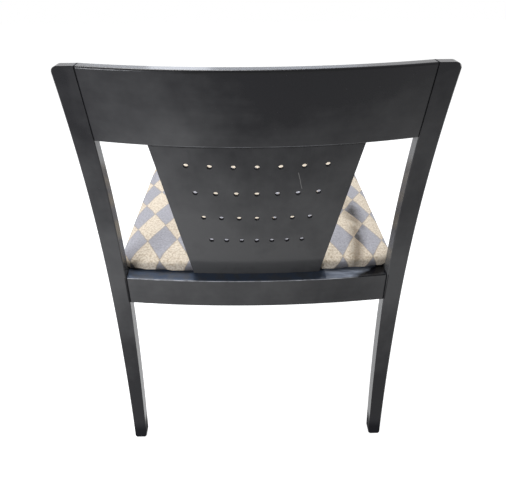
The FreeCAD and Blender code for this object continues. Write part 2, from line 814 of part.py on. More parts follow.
def seat_screw_places():
    """Where the four screws rise through the corner blocks into the seat board."""
    rear_y = back(D.rear_rail_front + S.seat_screw_line)
    front_y = back(D.front_rail_back - S.seat_screw_line)
    x = D.post_in - S.seat_screw_line
    return [(side * x, y) for side in (1, -1) for y in (rear_y, front_y)]


def build_seat_board():
    """The plywood board that carries the foam and takes the seat screws."""
    body = new_body("seat_board")
    sketch = new_sketch(body, "XY", D.board_low)
    seat_outline(sketch, S.board_inset)
    pad(body, sketch, S.board_thickness)
    depth = S.overrun + S.seat_screw_bite + S.bore_overlength
    bore(body, "XY", D.board_low - S.overrun, seat_screw_places(), D.pilot_radius, depth, True)
    return body


def build_seat_foam():
    """The foam: crowned on top, rolled down around the board's edge."""
    body = new_body("seat_foam")
    loft(body, "PartDesign::AdditiveLoft", cushion_levels(body, S.fabric_thickness + S.foam_clearance))
    recess = new_sketch(body, "XY", D.board_low - S.overrun)
    seat_outline(recess, S.board_inset)
    cut(body, recess, S.overrun + S.board_thickness, True)
    return body


def build_seat_cover():
    """The fabric cover: a crowned skin, turned under the board and open below."""
    body = new_body("seat_cover")
    loft(body, "PartDesign::AdditiveLoft", cushion_levels(body, ZERO))
    loft(body, "PartDesign::SubtractiveLoft", cushion_levels(body, S.fabric_thickness))
    opening = new_sketch(body, "XY", S.rail_top - S.overrun)
    seat_outline(opening, S.fabric_turn_under)
    cut(body, opening, S.overrun + 2 * S.fabric_thickness, True)
    return body


def build_dust_cover():
    """The thin black cloth that closes the seat from below."""
    body = new_body("dust_cover")
    sketch = new_sketch(body, "XY", S.rail_top + S.foam_clearance)
    seat_outline(sketch, S.fabric_turn_under + S.fabric_thickness)
    pad(body, sketch, S.dust_cover_thickness)
    depth = S.overrun + 2 * S.fabric_thickness
    hole_radius = S.screw_radius + S.foam_clearance
    bore(body, "XY", S.rail_top - S.overrun, seat_screw_places(), hole_radius, depth, True)
    return body


def build_glide(label, x, y):
    """A nail-on glide: a low round foot with its pin."""
    body = new_body(label)
    sketch = new_sketch(body, "XZ")
    rim = S.glide_radius - S.glide_edge_radius
    add_outline(sketch, [
        (ZERO, ZERO),
        (rim, ZERO, S.glide_edge_radius, 1),
        (S.glide_radius, S.glide_edge_radius),
        (S.glide_radius, S.glide_height),
        (S.glide_pin_radius, S.glide_height),
        (S.glide_pin_radius, S.glide_height + S.glide_pin_length),
        (ZERO, S.glide_height + S.glide_pin_length),
    ])
    feature = body.newObject("PartDesign::Revolution", label + "_turned")
    feature.Profile = sketch
    feature.ReferenceAxis = (sketch, ["V_Axis"])
    feature.Angle = FULL_TURN
    body.Placement = FreeCAD.Placement(FreeCAD.Vector(x.value, y.value, 0), FreeCAD.Rotation())
    bind(body, "Placement.Base.x", x)
    bind(body, "Placement.Base.y", y)
    DOC.recompute()
    return body


def place_along(thing, axis, sign, origin):
    """Put a part made along +Z so that it points along an axis of the chair."""
    along = FreeCAD.Vector(*[sign if name == axis else 0 for name in "XYZ"])
    turn = FreeCAD.Rotation(FreeCAD.Vector(0, 0, 1), along)
    place = FreeCAD.Vector(*[size.value for size in origin])
    thing.Placement = FreeCAD.Placement(place, turn)
    for name, size in zip("xyz", origin):
        bind(thing, f"Placement.Base.{name}", size)


def new_cylinder(label, radius, length):
    """A plain cylinder along +Z."""
    cylinder = DOC.addObject("Part::Cylinder", label)
    cylinder.Radius = radius.value
    cylinder.Height = length.value
    bind(cylinder, "Radius", radius)
    bind(cylinder, "Height", length)
    return cylinder


def build_dowels(label, axis, joints):
    """A group of dowels, each centred on its joint and lying along one axis."""
    members = []
    for number, joint in enumerate(joints, start=1):
        dowel = new_cylinder(f"{label}_{number}", S.dowel_radius, S.dowel_reach * 2)
        origin = [as_size(size) for size in joint]
        index = "XYZ".index(axis)
        origin[index] = origin[index] - S.dowel_reach
        place_along(dowel, axis, 1, origin)
        members.append(dowel)
    return group(label, members)


def group(label, members):
    """Identical fasteners kept together as one sub-part of separate solids."""
    compound = DOC.addObject("Part::Compound", label)
    compound.Label = label
    compound.Links = members
    DOC.recompute()
    return compound


def build_screw(label, bite, axis, sign, seat):
    """One screw: its head's under side sits at the place given, its shank points along the axis."""
    shank = new_cylinder(label + "_shank", S.screw_radius, S.screw_wood_under_head + bite)
    head = new_cylinder(label + "_head", S.screw_head_radius, S.screw_head_height)
    head.Placement.Base = FreeCAD.Vector(0, 0, -S.screw_head_height.value)
    bind(head, "Placement.Base.z", -S.screw_head_height)
    screw = DOC.addObject("Part::MultiFuse", label)
    screw.Shapes = [shank, head]
    place_along(screw, axis, sign, [as_size(size) for size in seat])
    return screw


def build_block_screws():
    """The screws from the corner blocks into the rails, two to a block."""
    screws = []
    wood = S.screw_wood_under_head
    low = D.rail_middle - S.screw_spread
    high = D.rail_middle + S.screw_spread
    for side in (1, -1):
        for front in (False, True):
            inward = 1 if front else -1
            corner_y = back(D.front_rail_back) if front else back(D.rear_rail_front)
            name = f"block_screw_{len(screws)}"
            seat = (side * (D.post_in - wood), back(side_screw_forward(front)), low)
            screws.append(build_screw(name + "_side", S.screw_bite, "X", side, seat))
            seat = (side * cross_screw_x(front), corner_y + inward * wood, high)
            screws.append(build_screw(name + "_cross", S.screw_bite, "Y", -inward, seat))
    return group("corner_block_screws", screws)


def build_seat_screws():
    """The screws from below, through the corner blocks, into the seat board."""
    bite = D.board_low - S.rail_top + S.seat_screw_bite
    screws = []
    for number, (x, y) in enumerate(seat_screw_places(), start=1):
        seat = (x, y, S.rail_top - S.screw_wood_under_head)
        screws.append(build_screw(f"seat_screw_{number}", bite, "Z", 1, seat))
    return group("seat_screws", screws)


def build_chair():
    """Every sub-part of the chair, in a list."""
    sides = (("left", 1), ("right", -1))
    parts = [build_crest_rail(), build_splat(), build_rear_seat_rail(), build_front_seat_rail()]
    for name, side in sides:
        parts.append(build_rear_post(f"{name}_rear_post", side))
        parts.append(build_front_leg(f"{name}_front_leg", side))
        parts.append(build_side_rail(f"{name}_side_rail", side))
        parts.append(build_corner_block(f"{name}_rear_corner_block", side, False))
        parts.append(build_corner_block(f"{name}_front_corner_block", side, True))
        rear_x = side * (D.foot_middle)
        front_x = side * (D.leg_out - S.leg_foot_size / 2)
        parts.append(build_glide(f"{name}_rear_glide", rear_x, back(S.post_foot_depth / 2)))
        parts.append(build_glide(f"{name}_front_glide", front_x, back(D.leg_front - S.leg_foot_size / 2)))
    parts += [build_seat_board(), build_seat_foam(), build_seat_cover(), build_dust_cover()]
    post_middle = S.waist_forward + S.post_waist_depth / 2
    rear_heights = levels(D.rail_middle, S.rear_dowel_spread)
    side_heights = levels(D.rail_middle, S.side_dowel_spread)
    front_heights = levels(D.rail_middle, S.front_dowel_spread)
    crest_heights = levels(D.crest_middle, S.crest_dowel_spread)
    parts.append(build_dowels("crest_dowels", "X", [
        (side * D.post_in, back(crest_dowel_line(z)), z) for _, side in sides for z in crest_heights]))
    parts.append(build_dowels("rear_rail_dowels", "X", [
        (side * D.post_in, back(post_middle), z) for _, side in sides for z in rear_heights]))
    parts.append(build_dowels("front_rail_dowels", "X", [
        (side * D.leg_in, back(D.front_rail_middle), z) for _, side in sides for z in front_heights]))
    parts.append(build_dowels("side_rail_dowels", "Y", [
        (side * D.side_rail_middle, y, z)
        for _, side in sides for y in (back(D.waist_front), back(D.leg_back)) for z in side_heights]))
    parts.append(build_block_screws())
    parts.append(build_seat_screws())
    return parts


def check_document():
    """Stop if any object of the document failed to build."""
    for thing in DOC.Objects:
        if "Invalid" in thing.State or "Error" in thing.State:
            raise ValueError(f"{thing.Label} did not build: {thing.State}")


def write_parts(parts):
    """Check each sub-part's shape and write it to its own file."""
    os.makedirs("parts", exist_ok=True)
    whole = FreeCAD.BoundBox()
    for part in parts:
        shape = part.Shape
        if shape.isNull() or not shape.isValid() or not shape.Solids:
            raise ValueError(f"{part.Label} has no valid solid")
        whole.add(shape.optimalBoundingBox(False, False))
        print(f"{part.Label:28s} solids {len(shape.Solids):2d}  volume {shape.Volume / 1000:9.2f} cm3")
        shape.exportStep(f"parts/{part.Label}.step")
    print("box", [round(number, 2) for number in (whole.XMin, whole.YMin, whole.ZMin)],
          [round(number, 2) for number in (whole.XMax, whole.YMax, whole.ZMax)])


PARTS = build_chair()
DOC.recompute()
check_document()
write_parts(PARTS)
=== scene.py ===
# %% [markdown]
# # A black side chair with a checked seat
#
# The chair stands with its back to us. Its frame is hardwood under charcoal satin paint: two sabre
# posts, a bowed crest, a thin pierced splat and a seat frame. The seat is a foam pad on a board,
# covered in a woven cream and slate harlequin check.
#
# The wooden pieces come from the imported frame, already in place and at their real size, so they only
# get edges and paint here. The padded seat is made anew, as cloth over foam.

# %% Load the frame
import math
from collections import namedtuple

import bpy
import numpy as np
from mathutils import Matrix, Vector


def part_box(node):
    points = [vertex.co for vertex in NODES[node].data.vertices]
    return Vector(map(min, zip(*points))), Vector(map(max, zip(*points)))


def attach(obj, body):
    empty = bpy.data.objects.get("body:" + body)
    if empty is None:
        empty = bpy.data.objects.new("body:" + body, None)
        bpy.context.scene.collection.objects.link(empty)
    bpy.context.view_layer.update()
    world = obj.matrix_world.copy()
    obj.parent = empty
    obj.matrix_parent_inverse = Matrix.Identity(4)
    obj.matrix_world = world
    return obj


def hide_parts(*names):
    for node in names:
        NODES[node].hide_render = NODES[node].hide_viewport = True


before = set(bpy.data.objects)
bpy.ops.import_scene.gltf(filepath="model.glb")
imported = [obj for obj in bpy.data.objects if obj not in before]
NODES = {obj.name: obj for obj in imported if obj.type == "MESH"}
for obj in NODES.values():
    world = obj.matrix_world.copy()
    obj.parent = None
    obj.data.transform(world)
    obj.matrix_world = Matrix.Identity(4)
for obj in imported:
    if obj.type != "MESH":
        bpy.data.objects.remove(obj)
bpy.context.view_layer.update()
MM = 0.001

# %% [markdown]
# ## The camera
#
# A photograph is matched by solving for the camera first: the lens and the tilt were worked out from
# the two feet, the ends of the rails and the regular check of the seat. The lens is a short one, which
# is why the crest looks so much wider than the feet.

# %% Place the camera
IMAGE_WIDTH_PX = 506
FOCAL_PX = 500
SENSOR_MM = 36
CAMERA_PLACE = Vector((0.0130, 0.9611, 0.9705))
CAMERA_DOWN = math.radians(32.04)
CAMERA_TURN = math.radians(0.47)
CAMERA_ROLL = math.radians(-0.49)


def camera_axes(down, turn, roll):
    """The camera's right, up and forward directions; it looks towards the chair's front, along -Y."""
    forward = Vector((-math.sin(turn) * math.cos(down), -math.cos(turn) * math.cos(down), -math.sin(down)))
    level = Vector((-math.cos(turn), math.sin(turn), 0))
    upright = level.cross(forward)
    right = math.cos(roll) * level + math.sin(roll) * upright
    return right, right.cross(forward), forward


right, up, forward = camera_axes(CAMERA_DOWN, CAMERA_TURN, CAMERA_ROLL)
camera_data = bpy.data.cameras.new("camera")
camera_data.sensor_width = SENSOR_MM
camera_data.lens = FOCAL_PX / IMAGE_WIDTH_PX * SENSOR_MM
camera = bpy.data.objects.new("camera", camera_data)
camera.matrix_world = Matrix.Translation(CAMERA_PLACE) @ Matrix((right, up, -forward)).transposed().to_4x4()
bpy.context.scene.collection.objects.link(camera)
bpy.context.scene.camera = camera
print(f"lens {camera_data.lens:.1f} mm")

# %% [markdown]
# ## A short way to write materials
#
# Every finish is a small tree of shader nodes. `Recipe` adds a node, sets its values and joins its
# inputs in one call, so that a material reads from top to bottom like a list of steps. Most steps are
# sums on shares: a share is 0 where a finish is absent, 1 where it is full, and soft in between.

# %% The recipe helper


class Recipe:
    """A material and short ways to add nodes to it."""

    def __init__(self, name):
        self.material = bpy.data.materials.new(name)
        self.material.use_nodes = True
        self.tree = self.material.node_tree
        self.tree.nodes.clear()

    def add(self, kind, inputs=None, **settings):
        """Add a node; an input is a plain value or another node's output."""
        node = self.tree.nodes.new("ShaderNode" + kind)
        for name, value in settings.items():
            setattr(node, name, value)
        for name, value in (inputs or {}).items():
            if isinstance(value, bpy.types.NodeSocket):
                self.tree.links.new(value, node.inputs[name])
            else:
                node.inputs[name].default_value = value
        return node

    def math(self, operation, *values):
        """One sum on up to three numbers."""
        return self.add("Math", dict(enumerate(values)), operation=operation).outputs[0]

    def plus(self, first, *others):
        """All the values added up."""
        for other in others:
            first = self.math("ADD", first, other)
        return first

    def minus(self, first, second):
        """The first value less the second."""
        return self.math("SUBTRACT", first, second)

    def times(self, first, *others):
        """All the values multiplied."""
        for other in others:
            first = self.math("MULTIPLY", first, other)
        return first

    def size(self, value):
        """A value without its sign."""
        return self.math("ABSOLUTE", value)

    def rise(self, value, low, high):
        """A share that grows from 0 at low to 1 at high, with no overshoot."""
        node = self.add("MapRange", {"Value": value, "From Min": low, "From Max": high}, clamp=True)
        return node.outputs[0]

    def fall(self, value, low, high):
        """A share that drops from 1 at low to 0 at high."""
        return self.minus(1.0, self.rise(value, low, high))

    def blend(self, share, first, second):
        """A colour between two others."""
        node = self.add("Mix", {"Factor": share, "A": first, "B": second}, data_type="RGBA")
        return node.outputs["Result"]

    def place(self):
        """Each point's place on the chair, in metres."""
        return self.add("TexCoord").outputs["Object"]

    def split(self, vector):
        """The x, y and z of a place or a direction."""
        return self.add("SeparateXYZ", {0: vector}).outputs[:]

    def drawn_out(self, place, shares):
        """A place for noise that is drawn out along each axis with a small share."""
        return self.add("Mapping", {"Vector": place, "Scale": shares}).outputs[0]

    def noise(self, place, scale, detail=4.0, roughness=0.5):
        """A cloudy value from 0 to 1."""
        inputs = {"Vector": place, "Scale": scale, "Detail": detail, "Roughness": roughness}
        return self.add("TexNoise", inputs).outputs[0]

    def cells(self, place, scale):
        """A value that grows from the middle of each small cell to its edge."""
        return self.add("TexVoronoi", {"Vector": place, "Scale": scale}).outputs["Distance"]

    def finish(self, colour, rough, bump=None, bump_height=1.0, **constants):
        """Close the recipe with one shader; every constant sits on the shader's own socket."""
        shader = self.add("BsdfPrincipled", {"Base Color": colour, "Roughness": rough})
        for name, value in constants.items():
            shader.inputs[name.replace("_", " ")].default_value = value
        if bump is not None:
            relief = self.add("Bump", {"Height": bump, "Strength": 1.0, "Distance": bump_height})
            self.tree.links.new(relief.outputs[0], shader.inputs["Normal"])
        output = self.add("OutputMaterial", {"Surface": shader.outputs[0]})
        output.is_active_output = True
        return self.material


print("the recipe helper is ready")

# %% [markdown]
# ## The paint film
#
# The paint is sprayed charcoal with a soft sheen: dark, but not one colour. The film is a little uneven,
# the grain below it shows as faint streaks along the wood, and it is paler in clouds, with a few specks.
# Over that lies painted light and shade: the colour is palest at seat height and on the left, darkest at
# the feet, and a few round patches are painted paler or darker. All of this is drawn from each point's
# place on the chair, so that neighbouring boards match.

# %% The film's colour
PAINT_DARK = (0.005, 0.005, 0.0075, 1)
PAINT_LIGHT = (0.075, 0.075, 0.076, 1)
PAINT_WORN = (0.20, 0.195, 0.19, 1)
PALEST_HEIGHT = 0.46
DARKEST_AWAY = 0.42
FADE_ACROSS = 0.9
FADE_ENDS = (0.18, 0.25)
FOOT_SHADE = 0.35
FOOT_SHADE_ENDS = (0.05, 0.30)
SPECKS = (0.74, 0.80)

Patch = namedtuple("Patch", "x z radius strength")


def film_colour(recipe, place, film, patches):
    """The film's colour with painted light and shade; patches paint it paler, or darker with a negative
    strength.
    """
    x, _, z = recipe.split(place)
    # Painted light and shade: palest at seat height, paler to the left between the posts, darker near the
    # floor.
    paleness = recipe.fall(recipe.size(recipe.minus(z, PALEST_HEIGHT)), 0.0, DARKEST_AWAY)
    between_posts = recipe.fall(recipe.size(x), *FADE_ENDS)
    paleness = recipe.plus(paleness, recipe.times(x, FADE_ACROSS, between_posts))
    near_floor = recipe.fall(z, *FOOT_SHADE_ENDS)
    paleness = recipe.minus(paleness, recipe.times(near_floor, FOOT_SHADE))
    seen_from_behind = recipe.add("CombineXYZ", {"X": x, "Z": z}).outputs[0]
    for patch in patches:
        inputs = {0: seen_from_behind, 1: (patch.x, 0, patch.z)}
        distance = recipe.add("VectorMath", inputs, operation="DISTANCE").outputs["Value"]
        soft = recipe.fall(distance, 0.0, patch.radius)
        paleness = recipe.plus(paleness, recipe.times(soft, patch.strength))
    clouded = recipe.times(recipe.minus(film, 0.5), 2.0)
    colour = recipe.blend(recipe.plus(paleness, clouded), PAINT_DARK, PAINT_LIGHT)
    specks = recipe.rise(recipe.noise(place, 420.0, 2.0), *SPECKS)
    return recipe.blend(recipe.times(specks, 0.3), colour, PAINT_WORN)


print(f"palest at {PALEST_HEIGHT} m, the height of the seat")

# %% [markdown]
# ## Joint lines and bands of painted light
#
# Where two boards meet, the paint has cracked and dirt has settled in the crease, which draws a thin
# black line along each post. Some edges get a painted highlight, and painted shade lies beside or
# below them. Each such band lies level between two heights, broken up by noise so that it is not ruled.

# %% Creases and bands
# Near-black for the joint lines and for painted shade.
CREASE_AND_SHADE_COLOUR = (0.003, 0.003, 0.004, 1)
CREASE_HALF_WIDTH = 1.7 * MM
SIDE_FACE = 0.6
POST_INNER_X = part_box("crest_rail")[1].x
RAIL_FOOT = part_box("rear_seat_rail")[0].z
RAIL_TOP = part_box("rear_seat_rail")[1].z
BAND_EDGE = 0.4 * MM

Band = namedtuple("Band", "low high tone strength reach")


def joint_line(recipe, place, normal):
    """The crease beside each post, twice as wide at the rail; a post's own side faces stay clean."""
    x, _, z = recipe.split(place)
    from_joint = recipe.size(recipe.minus(recipe.size(x), POST_INNER_X))
    at_rail = recipe.math("LESS_THAN", z, RAIL_TOP)
    from_joint = recipe.math("DIVIDE", from_joint, recipe.plus(at_rail, 1.0))
    crease = recipe.fall(from_joint, 0.5 * CREASE_HALF_WIDTH, CREASE_HALF_WIDTH)
    above_legs = recipe.rise(z, RAIL_FOOT, RAIL_FOOT + 1 * MM)
    sideways = recipe.size(recipe.split(normal)[0])
    return recipe.times(crease, above_legs, recipe.math("LESS_THAN", sideways, SIDE_FACE))


def band_share(recipe, place, band):
    """1 between the band's two heights and within its reach of the chair's middle."""
    x, _, z = recipe.split(place)
    above = recipe.rise(z, band.low - BAND_EDGE, band.low)
    below = recipe.fall(z, band.high, band.high + BAND_EDGE)
    return recipe.times(above, below, recipe.fall(recipe.size(x), 0.6 * band.reach, band.reach))


def broken_up(recipe, place):
    """A share from 0.4 to 1 that changes every few millimetres."""
    patchy = recipe.rise(recipe.noise(place, 40.0, 3.0, 0.6), 0.40, 0.60)
    return recipe.plus(recipe.times(patchy, 0.6), 0.4)


print(f"creases at {POST_INNER_X / MM:.1f} mm from the middle")

# %% [markdown]
# ## Marks on the ledge and the splat
#
# The rail's top makes a ledge behind the splat. Its colour carries a painted bluish reflection. Near
# its right end there are painted bright reflections in streaks with a torn start, and beyond them a
# painted dark reflection of the post. On the splat there is one long thin scratch, and the walls inside
# the drilled holes get painted shade.

# %% Ledge, scratch and holes
# Painted reflections on the ledge: a bluish tone, brighter streaks and a dark end.
LEDGE_REFLECTION_TONE = (0.045, 0.060, 0.090, 1)
LEDGE_BRIGHT_REFLECTION = (0.165, 0.185, 0.225, 1)
BLUISH_LEDGE = Band(RAIL_TOP - 0.2 * MM, RAIL_TOP + 1 * MM, LEDGE_REFLECTION_TONE, 1.2, 1.0)
BRIGHT_REFLECTION_ENDS = (-0.124, -0.121)
DARK_REFLECTION_ENDS = (-0.178, -0.162)
DARK_REFLECTION_SLANT = 1.2
DARK_REFLECTION_SLANT_Y = 0.208
SPLAT_BACK = (0, 0.965, -0.264)


def ledge_reflections(recipe, place, colour):
    """The ledge's right end: painted bright reflections in streaks, then a painted dark reflection of the
    post.
    """
    x, y, z = recipe.split(place)
    torn = recipe.plus(x, recipe.times(recipe.noise(place, 90.0), 0.014))
    streaks = recipe.noise(recipe.drawn_out(place, (0.3, 1.0, 1.0)), 140.0, 3.0)
    streaks = recipe.plus(recipe.times(recipe.rise(streaks, 0.38, 0.60), 0.6), 0.4)
    bright_reflection = recipe.times(recipe.fall(torn, *BRIGHT_REFLECTION_ENDS), band_share(recipe, place, BLUISH_LEDGE), streaks)
    colour = recipe.blend(bright_reflection, colour, LEDGE_BRIGHT_REFLECTION)
    slant = recipe.times(recipe.minus(DARK_REFLECTION_SLANT_Y, y), DARK_REFLECTION_SLANT)
    dark_reflection = recipe.fall(recipe.plus(torn, slant), *DARK_REFLECTION_ENDS)
    on_top = recipe.rise(z, RAIL_TOP - 2.0 * MM, RAIL_TOP - 1.6 * MM)
    return recipe.blend(recipe.times(dark_reflection, on_top), colour, CREASE_AND_SHADE_COLOUR)


def scratch_share(recipe, place, top, bottom):
    """A thin wavering line from one (x, z) place down to another."""
    x, _, z = recipe.split(place)
    run = recipe.rise(z, bottom[1], top[1])
    wander = recipe.times(recipe.noise(place, 60.0), 0.003)
    line_x = recipe.plus(recipe.times(run, top[0] - bottom[0]), bottom[0], wander)
    thin = recipe.fall(recipe.size(recipe.minus(x, line_x)), 0.2 * MM, 0.8 * MM)
    return recipe.times(thin, recipe.math("GREATER_THAN", run, 0.0), recipe.math("LESS_THAN", run, 1.0))


def hole_wall_shade(recipe, place, normal):
    """The splat's faces that look neither forwards nor backwards, but not its own two sides; they get
    painted shade.
    """
    x, _, z = recipe.split(place)
    facing = recipe.add("VectorMath", {0: normal, 1: SPLAT_BACK}, operation="DOT_PRODUCT").outputs["Value"]
    wall = recipe.fall(recipe.size(facing), 0.4, 0.7)
    holes_reach = recipe.plus(recipe.times(z, 0.2), -0.014)
    return recipe.times(wall, recipe.math("LESS_THAN", recipe.size(x), holes_reach))


print(f"the ledge lies at {RAIL_TOP:.3f} m")

# %% [markdown]
# ## The paint of each board
#
# One recipe serves all the boards, and each gets the marks of its own place: painted shade where the
# splat goes under the crest, a painted highlight along the crest's lower edge, painted light and shade
# on the crest, and painted reflections and a painted highlight on the ledge of the rear rail. The grain
# runs along each board, so there is one paint for each direction. The feet are darkest, with painted
# shade towards the floor, and their tips are darker still and dull. The flat faces keep their sheen, and
# shine at a low angle like any lacquer.

# %% Paint
DARK_TIP_HEIGHT = 30 * MM
EDGE_HIGHLIGHT = (0.42, 0.43, 0.46, 1)
UPRIGHT, ACROSS, ALONG = (1.0, 1.0, 0.06), (0.06, 1.0, 1.0), (1.0, 0.06, 1.0)


def paint(name, grain_way, bands=(), patches=(), scratch=None, ledge=False, drilled=False):
    """Charcoal satin paint with the marks, the painted light and the painted shade of one board."""
    recipe = Recipe(name)
    place = recipe.place()
    normal = recipe.add("NewGeometry").outputs["True Normal"]
    cloud = recipe.noise(place, 7.0, 4.0, 0.6)
    grain = recipe.noise(recipe.drawn_out(place, grain_way), 60.0, 5.0, 0.6)
    film = recipe.plus(recipe.times(cloud, 0.88), recipe.times(grain, 0.12))
    colour = film_colour(recipe, place, film, patches)
    for band in bands:
        share = recipe.times(band_share(recipe, place, band), broken_up(recipe, place), band.strength)
        colour = recipe.blend(share, colour, band.tone)
    if ledge:
        colour = ledge_reflections(recipe, place, colour)
    if scratch is not None:
        colour = recipe.blend(scratch_share(recipe, place, *scratch), colour, PAINT_WORN)
    dark = joint_line(recipe, place, normal)
    # Painted shade on the walls of the splat's holes.
    if drilled:
        dark = recipe.math("MAXIMUM", dark, hole_wall_shade(recipe, place, normal))
    colour = recipe.blend(dark, colour, CREASE_AND_SHADE_COLOUR)
    # The last few centimetres of each foot are darker and rougher.
    tip = recipe.fall(recipe.split(place)[2], 0.8 * DARK_TIP_HEIGHT, 2.2 * DARK_TIP_HEIGHT)
    colour = recipe.blend(tip, colour, PAINT_DARK)
    dull = recipe.math("MAXIMUM", dark, recipe.times(tip, 0.9))
    rough = recipe.math("MAXIMUM", recipe.plus(recipe.times(cloud, 0.16), 0.12), dull)
    orange_peel = recipe.noise(place, 700.0, 1.0)
    relief = recipe.plus(recipe.times(grain, 0.6), recipe.times(orange_peel, 0.4))
    return recipe.finish(colour, rough, relief, 0.00006, IOR=1.30)


# The right post gets a patch of painted shade at mid height.
PAINT_UPRIGHT = paint("satin_paint_upright", UPRIGHT, patches=[Patch(-0.262, 0.58, 0.14, -0.50)])
PAINT_ACROSS = paint("satin_paint_across", ACROSS)
PAINT_ALONG = paint("satin_paint_along", ALONG)
print("paint for the plain boards is mixed")

# %% Paint with the marks of one board
CREST_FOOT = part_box("crest_rail")[0].z
CREST_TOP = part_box("crest_rail")[1].z
# Painted shade on the splat just under the crest.
SHADE_UNDER_CREST = Band(CREST_FOOT - 4 * MM, CREST_FOOT + 9 * MM, CREASE_AND_SHADE_COLOUR, 0.9, 1.0)
# The crest's lower arris and the ledge's arris get a painted highlight.
CREST_ARRIS_HIGHLIGHT = Band(CREST_FOOT, CREST_FOOT + 1.4 * MM, EDGE_HIGHLIGHT, 0.28, 0.16)
CREST_SHADE = Band(CREST_TOP - 5 * MM, CREST_TOP - 1.5 * MM, CREASE_AND_SHADE_COLOUR, 0.9, 0.14)
LEDGE_ARRIS_HIGHLIGHT = Band(RAIL_TOP - 1.6 * MM, RAIL_TOP - 0.6 * MM, EDGE_HIGHLIGHT, 1.0, 1.0)
# Painted light and shade on the crest: paler on the left, darker at the top middle and on the right.
CREST_LIGHT_AND_SHADE = [
    Patch(0.13, 0.745, 0.10, 0.35),
    Patch(-0.03, 0.80, 0.12, -0.40),
    Patch(-0.14, 0.78, 0.06, -0.20),
]
SPLAT_SHADE = Patch(0.0, 0.72, 0.20, -0.30)
RAIL_SHADE = Patch(-0.13, 0.42, 0.34, -0.30)
SCRATCH = ((-0.0655, 0.6584), (-0.0725, 0.6270))

PAINT_SPLAT = paint("satin_paint_splat", UPRIGHT, [SHADE_UNDER_CREST], [SPLAT_SHADE], scratch=SCRATCH, drilled=True)
PAINT_CREST = paint("satin_paint_crest", ACROSS, [CREST_ARRIS_HIGHLIGHT, CREST_SHADE], CREST_LIGHT_AND_SHADE)
PAINT_LEDGE = paint("satin_paint_ledge", ACROSS, [LEDGE_ARRIS_HIGHLIGHT, BLUISH_LEDGE], [RAIL_SHADE], ledge=True)
print(f"the splat goes under the crest at {CREST_FOOT:.3f} m")

# %% [markdown]
# ## Hidden materials
#
# Inside the seat frame there is bare beech and plywood, a thin black lining, dark plastic glides and
# zinc-plated screws. They only show from below, but the chair is looked at from every side. The top of
# the corner blocks is dark.

# %% Bare wood
BEECH_DARK = (0.36, 0.22, 0.12, 1)
BEECH_LIGHT = (0.58, 0.41, 0.25, 1)
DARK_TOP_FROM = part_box("left_rear_corner_block")[1].z - 10 * MM
DARK_TOP_DEPTH = 12 * MM


def bare_wood():
    """Unpainted beech with short dark flecks along the grain, darker near its top."""
    recipe = Recipe("bare_beech")
    place = recipe.place()
    stretched = recipe.drawn_out(place, (0.1, 1.0, 1.0))
    grain = recipe.noise(stretched, 90.0, 6.0, 0.65)
    flecks = recipe.rise(recipe.noise(stretched, 500.0, 2.0), 0.62, 0.70)
    colour = recipe.blend(recipe.rise(grain, 0.3, 0.7), BEECH_DARK, BEECH_LIGHT)
    colour = recipe.blend(recipe.times(flecks, 0.5), colour, BEECH_DARK)
    ragged = recipe.plus(recipe.split(place)[2], recipe.times(grain, 0.01))
    # The top of the corner blocks is darker.
    dark_top = recipe.rise(ragged, DARK_TOP_FROM, DARK_TOP_FROM + DARK_TOP_DEPTH)
    colour = recipe.blend(dark_top, colour, PAINT_DARK)
    return recipe.finish(colour, recipe.plus(grain, 0.15), grain, 0.0001)


BARE_WOOD = bare_wood()
print(BARE_WOOD.name, "made")

# %% Lining, plastic and steel


def lining():
    """Thin black cloth with a fine dimpled surface."""
    recipe = Recipe("black_lining")
    dimples = recipe.cells(recipe.place(), 700.0)
    colour = recipe.blend(dimples, (0.012, 0.012, 0.013, 1), (0.03, 0.03, 0.032, 1))
    return recipe.finish(colour, 0.9, dimples, 0.0002)


def glide_plastic():
    """Dark plastic, scuffed where it slides on the floor."""
    recipe = Recipe("glide_plastic")
    scuff = recipe.noise(recipe.place(), 300.0, 4.0)
    colour = recipe.blend(recipe.rise(scuff, 0.5, 0.8), (0.045, 0.045, 0.048, 1), (0.11, 0.11, 0.115, 1))
    return recipe.finish(colour, recipe.plus(recipe.times(scuff, 0.3), 0.35), scuff, 0.0001)


def screw_steel():
    """Zinc-plated steel with faint turning marks."""
    recipe = Recipe("zinc_steel")
    marks = recipe.noise(recipe.place(), 1500.0, 2.0)
    colour = recipe.blend(marks, (0.50, 0.50, 0.52, 1), (0.68, 0.67, 0.65, 1))
    rough = recipe.plus(recipe.times(marks, 0.2), 0.25)
    return recipe.finish(colour, rough, marks, 0.00005, Metallic=1.0)


LINING = lining()
GLIDE_PLASTIC = glide_plastic()
SCREW_STEEL = screw_steel()
print(LINING.name, GLIDE_PLASTIC.name, SCREW_STEEL.name, "made")

# %% [markdown]
# ## Paint the frame
#
# Each wooden piece keeps its own mesh. A bevel modifier takes the last sharpness off its edges, as sanding
# does before the paint, and those small rounds are what catch the light along every arris.

# %% Which piece gets which finish
FINISHES = {
    "painted_wood": {
        "left_rear_post": PAINT_UPRIGHT,
        "right_rear_post": PAINT_UPRIGHT,
        "left_front_leg": PAINT_UPRIGHT,
        "right_front_leg": PAINT_UPRIGHT,
        "splat": PAINT_SPLAT,
        "crest_rail": PAINT_CREST,
        "rear_seat_rail": PAINT_LEDGE,
        "front_seat_rail": PAINT_ACROSS,
        "left_side_rail": PAINT_ALONG,
        "right_side_rail": PAINT_ALONG,
    },
    "bare_wood": {
        name: BARE_WOOD for name in NODES
        if name.endswith(("corner_block", "dowels")) or name == "seat_board"
    },
    "glide_plastic": {name: GLIDE_PLASTIC for name in NODES if name.endswith("glide")},
    "screw_steel": {name: SCREW_STEEL for name in NODES if name.endswith("screws")},
    "lining": {"dust_cover": LINING},
}
print(sum(len(members) for members in FINISHES.values()), "nodes have a finish")

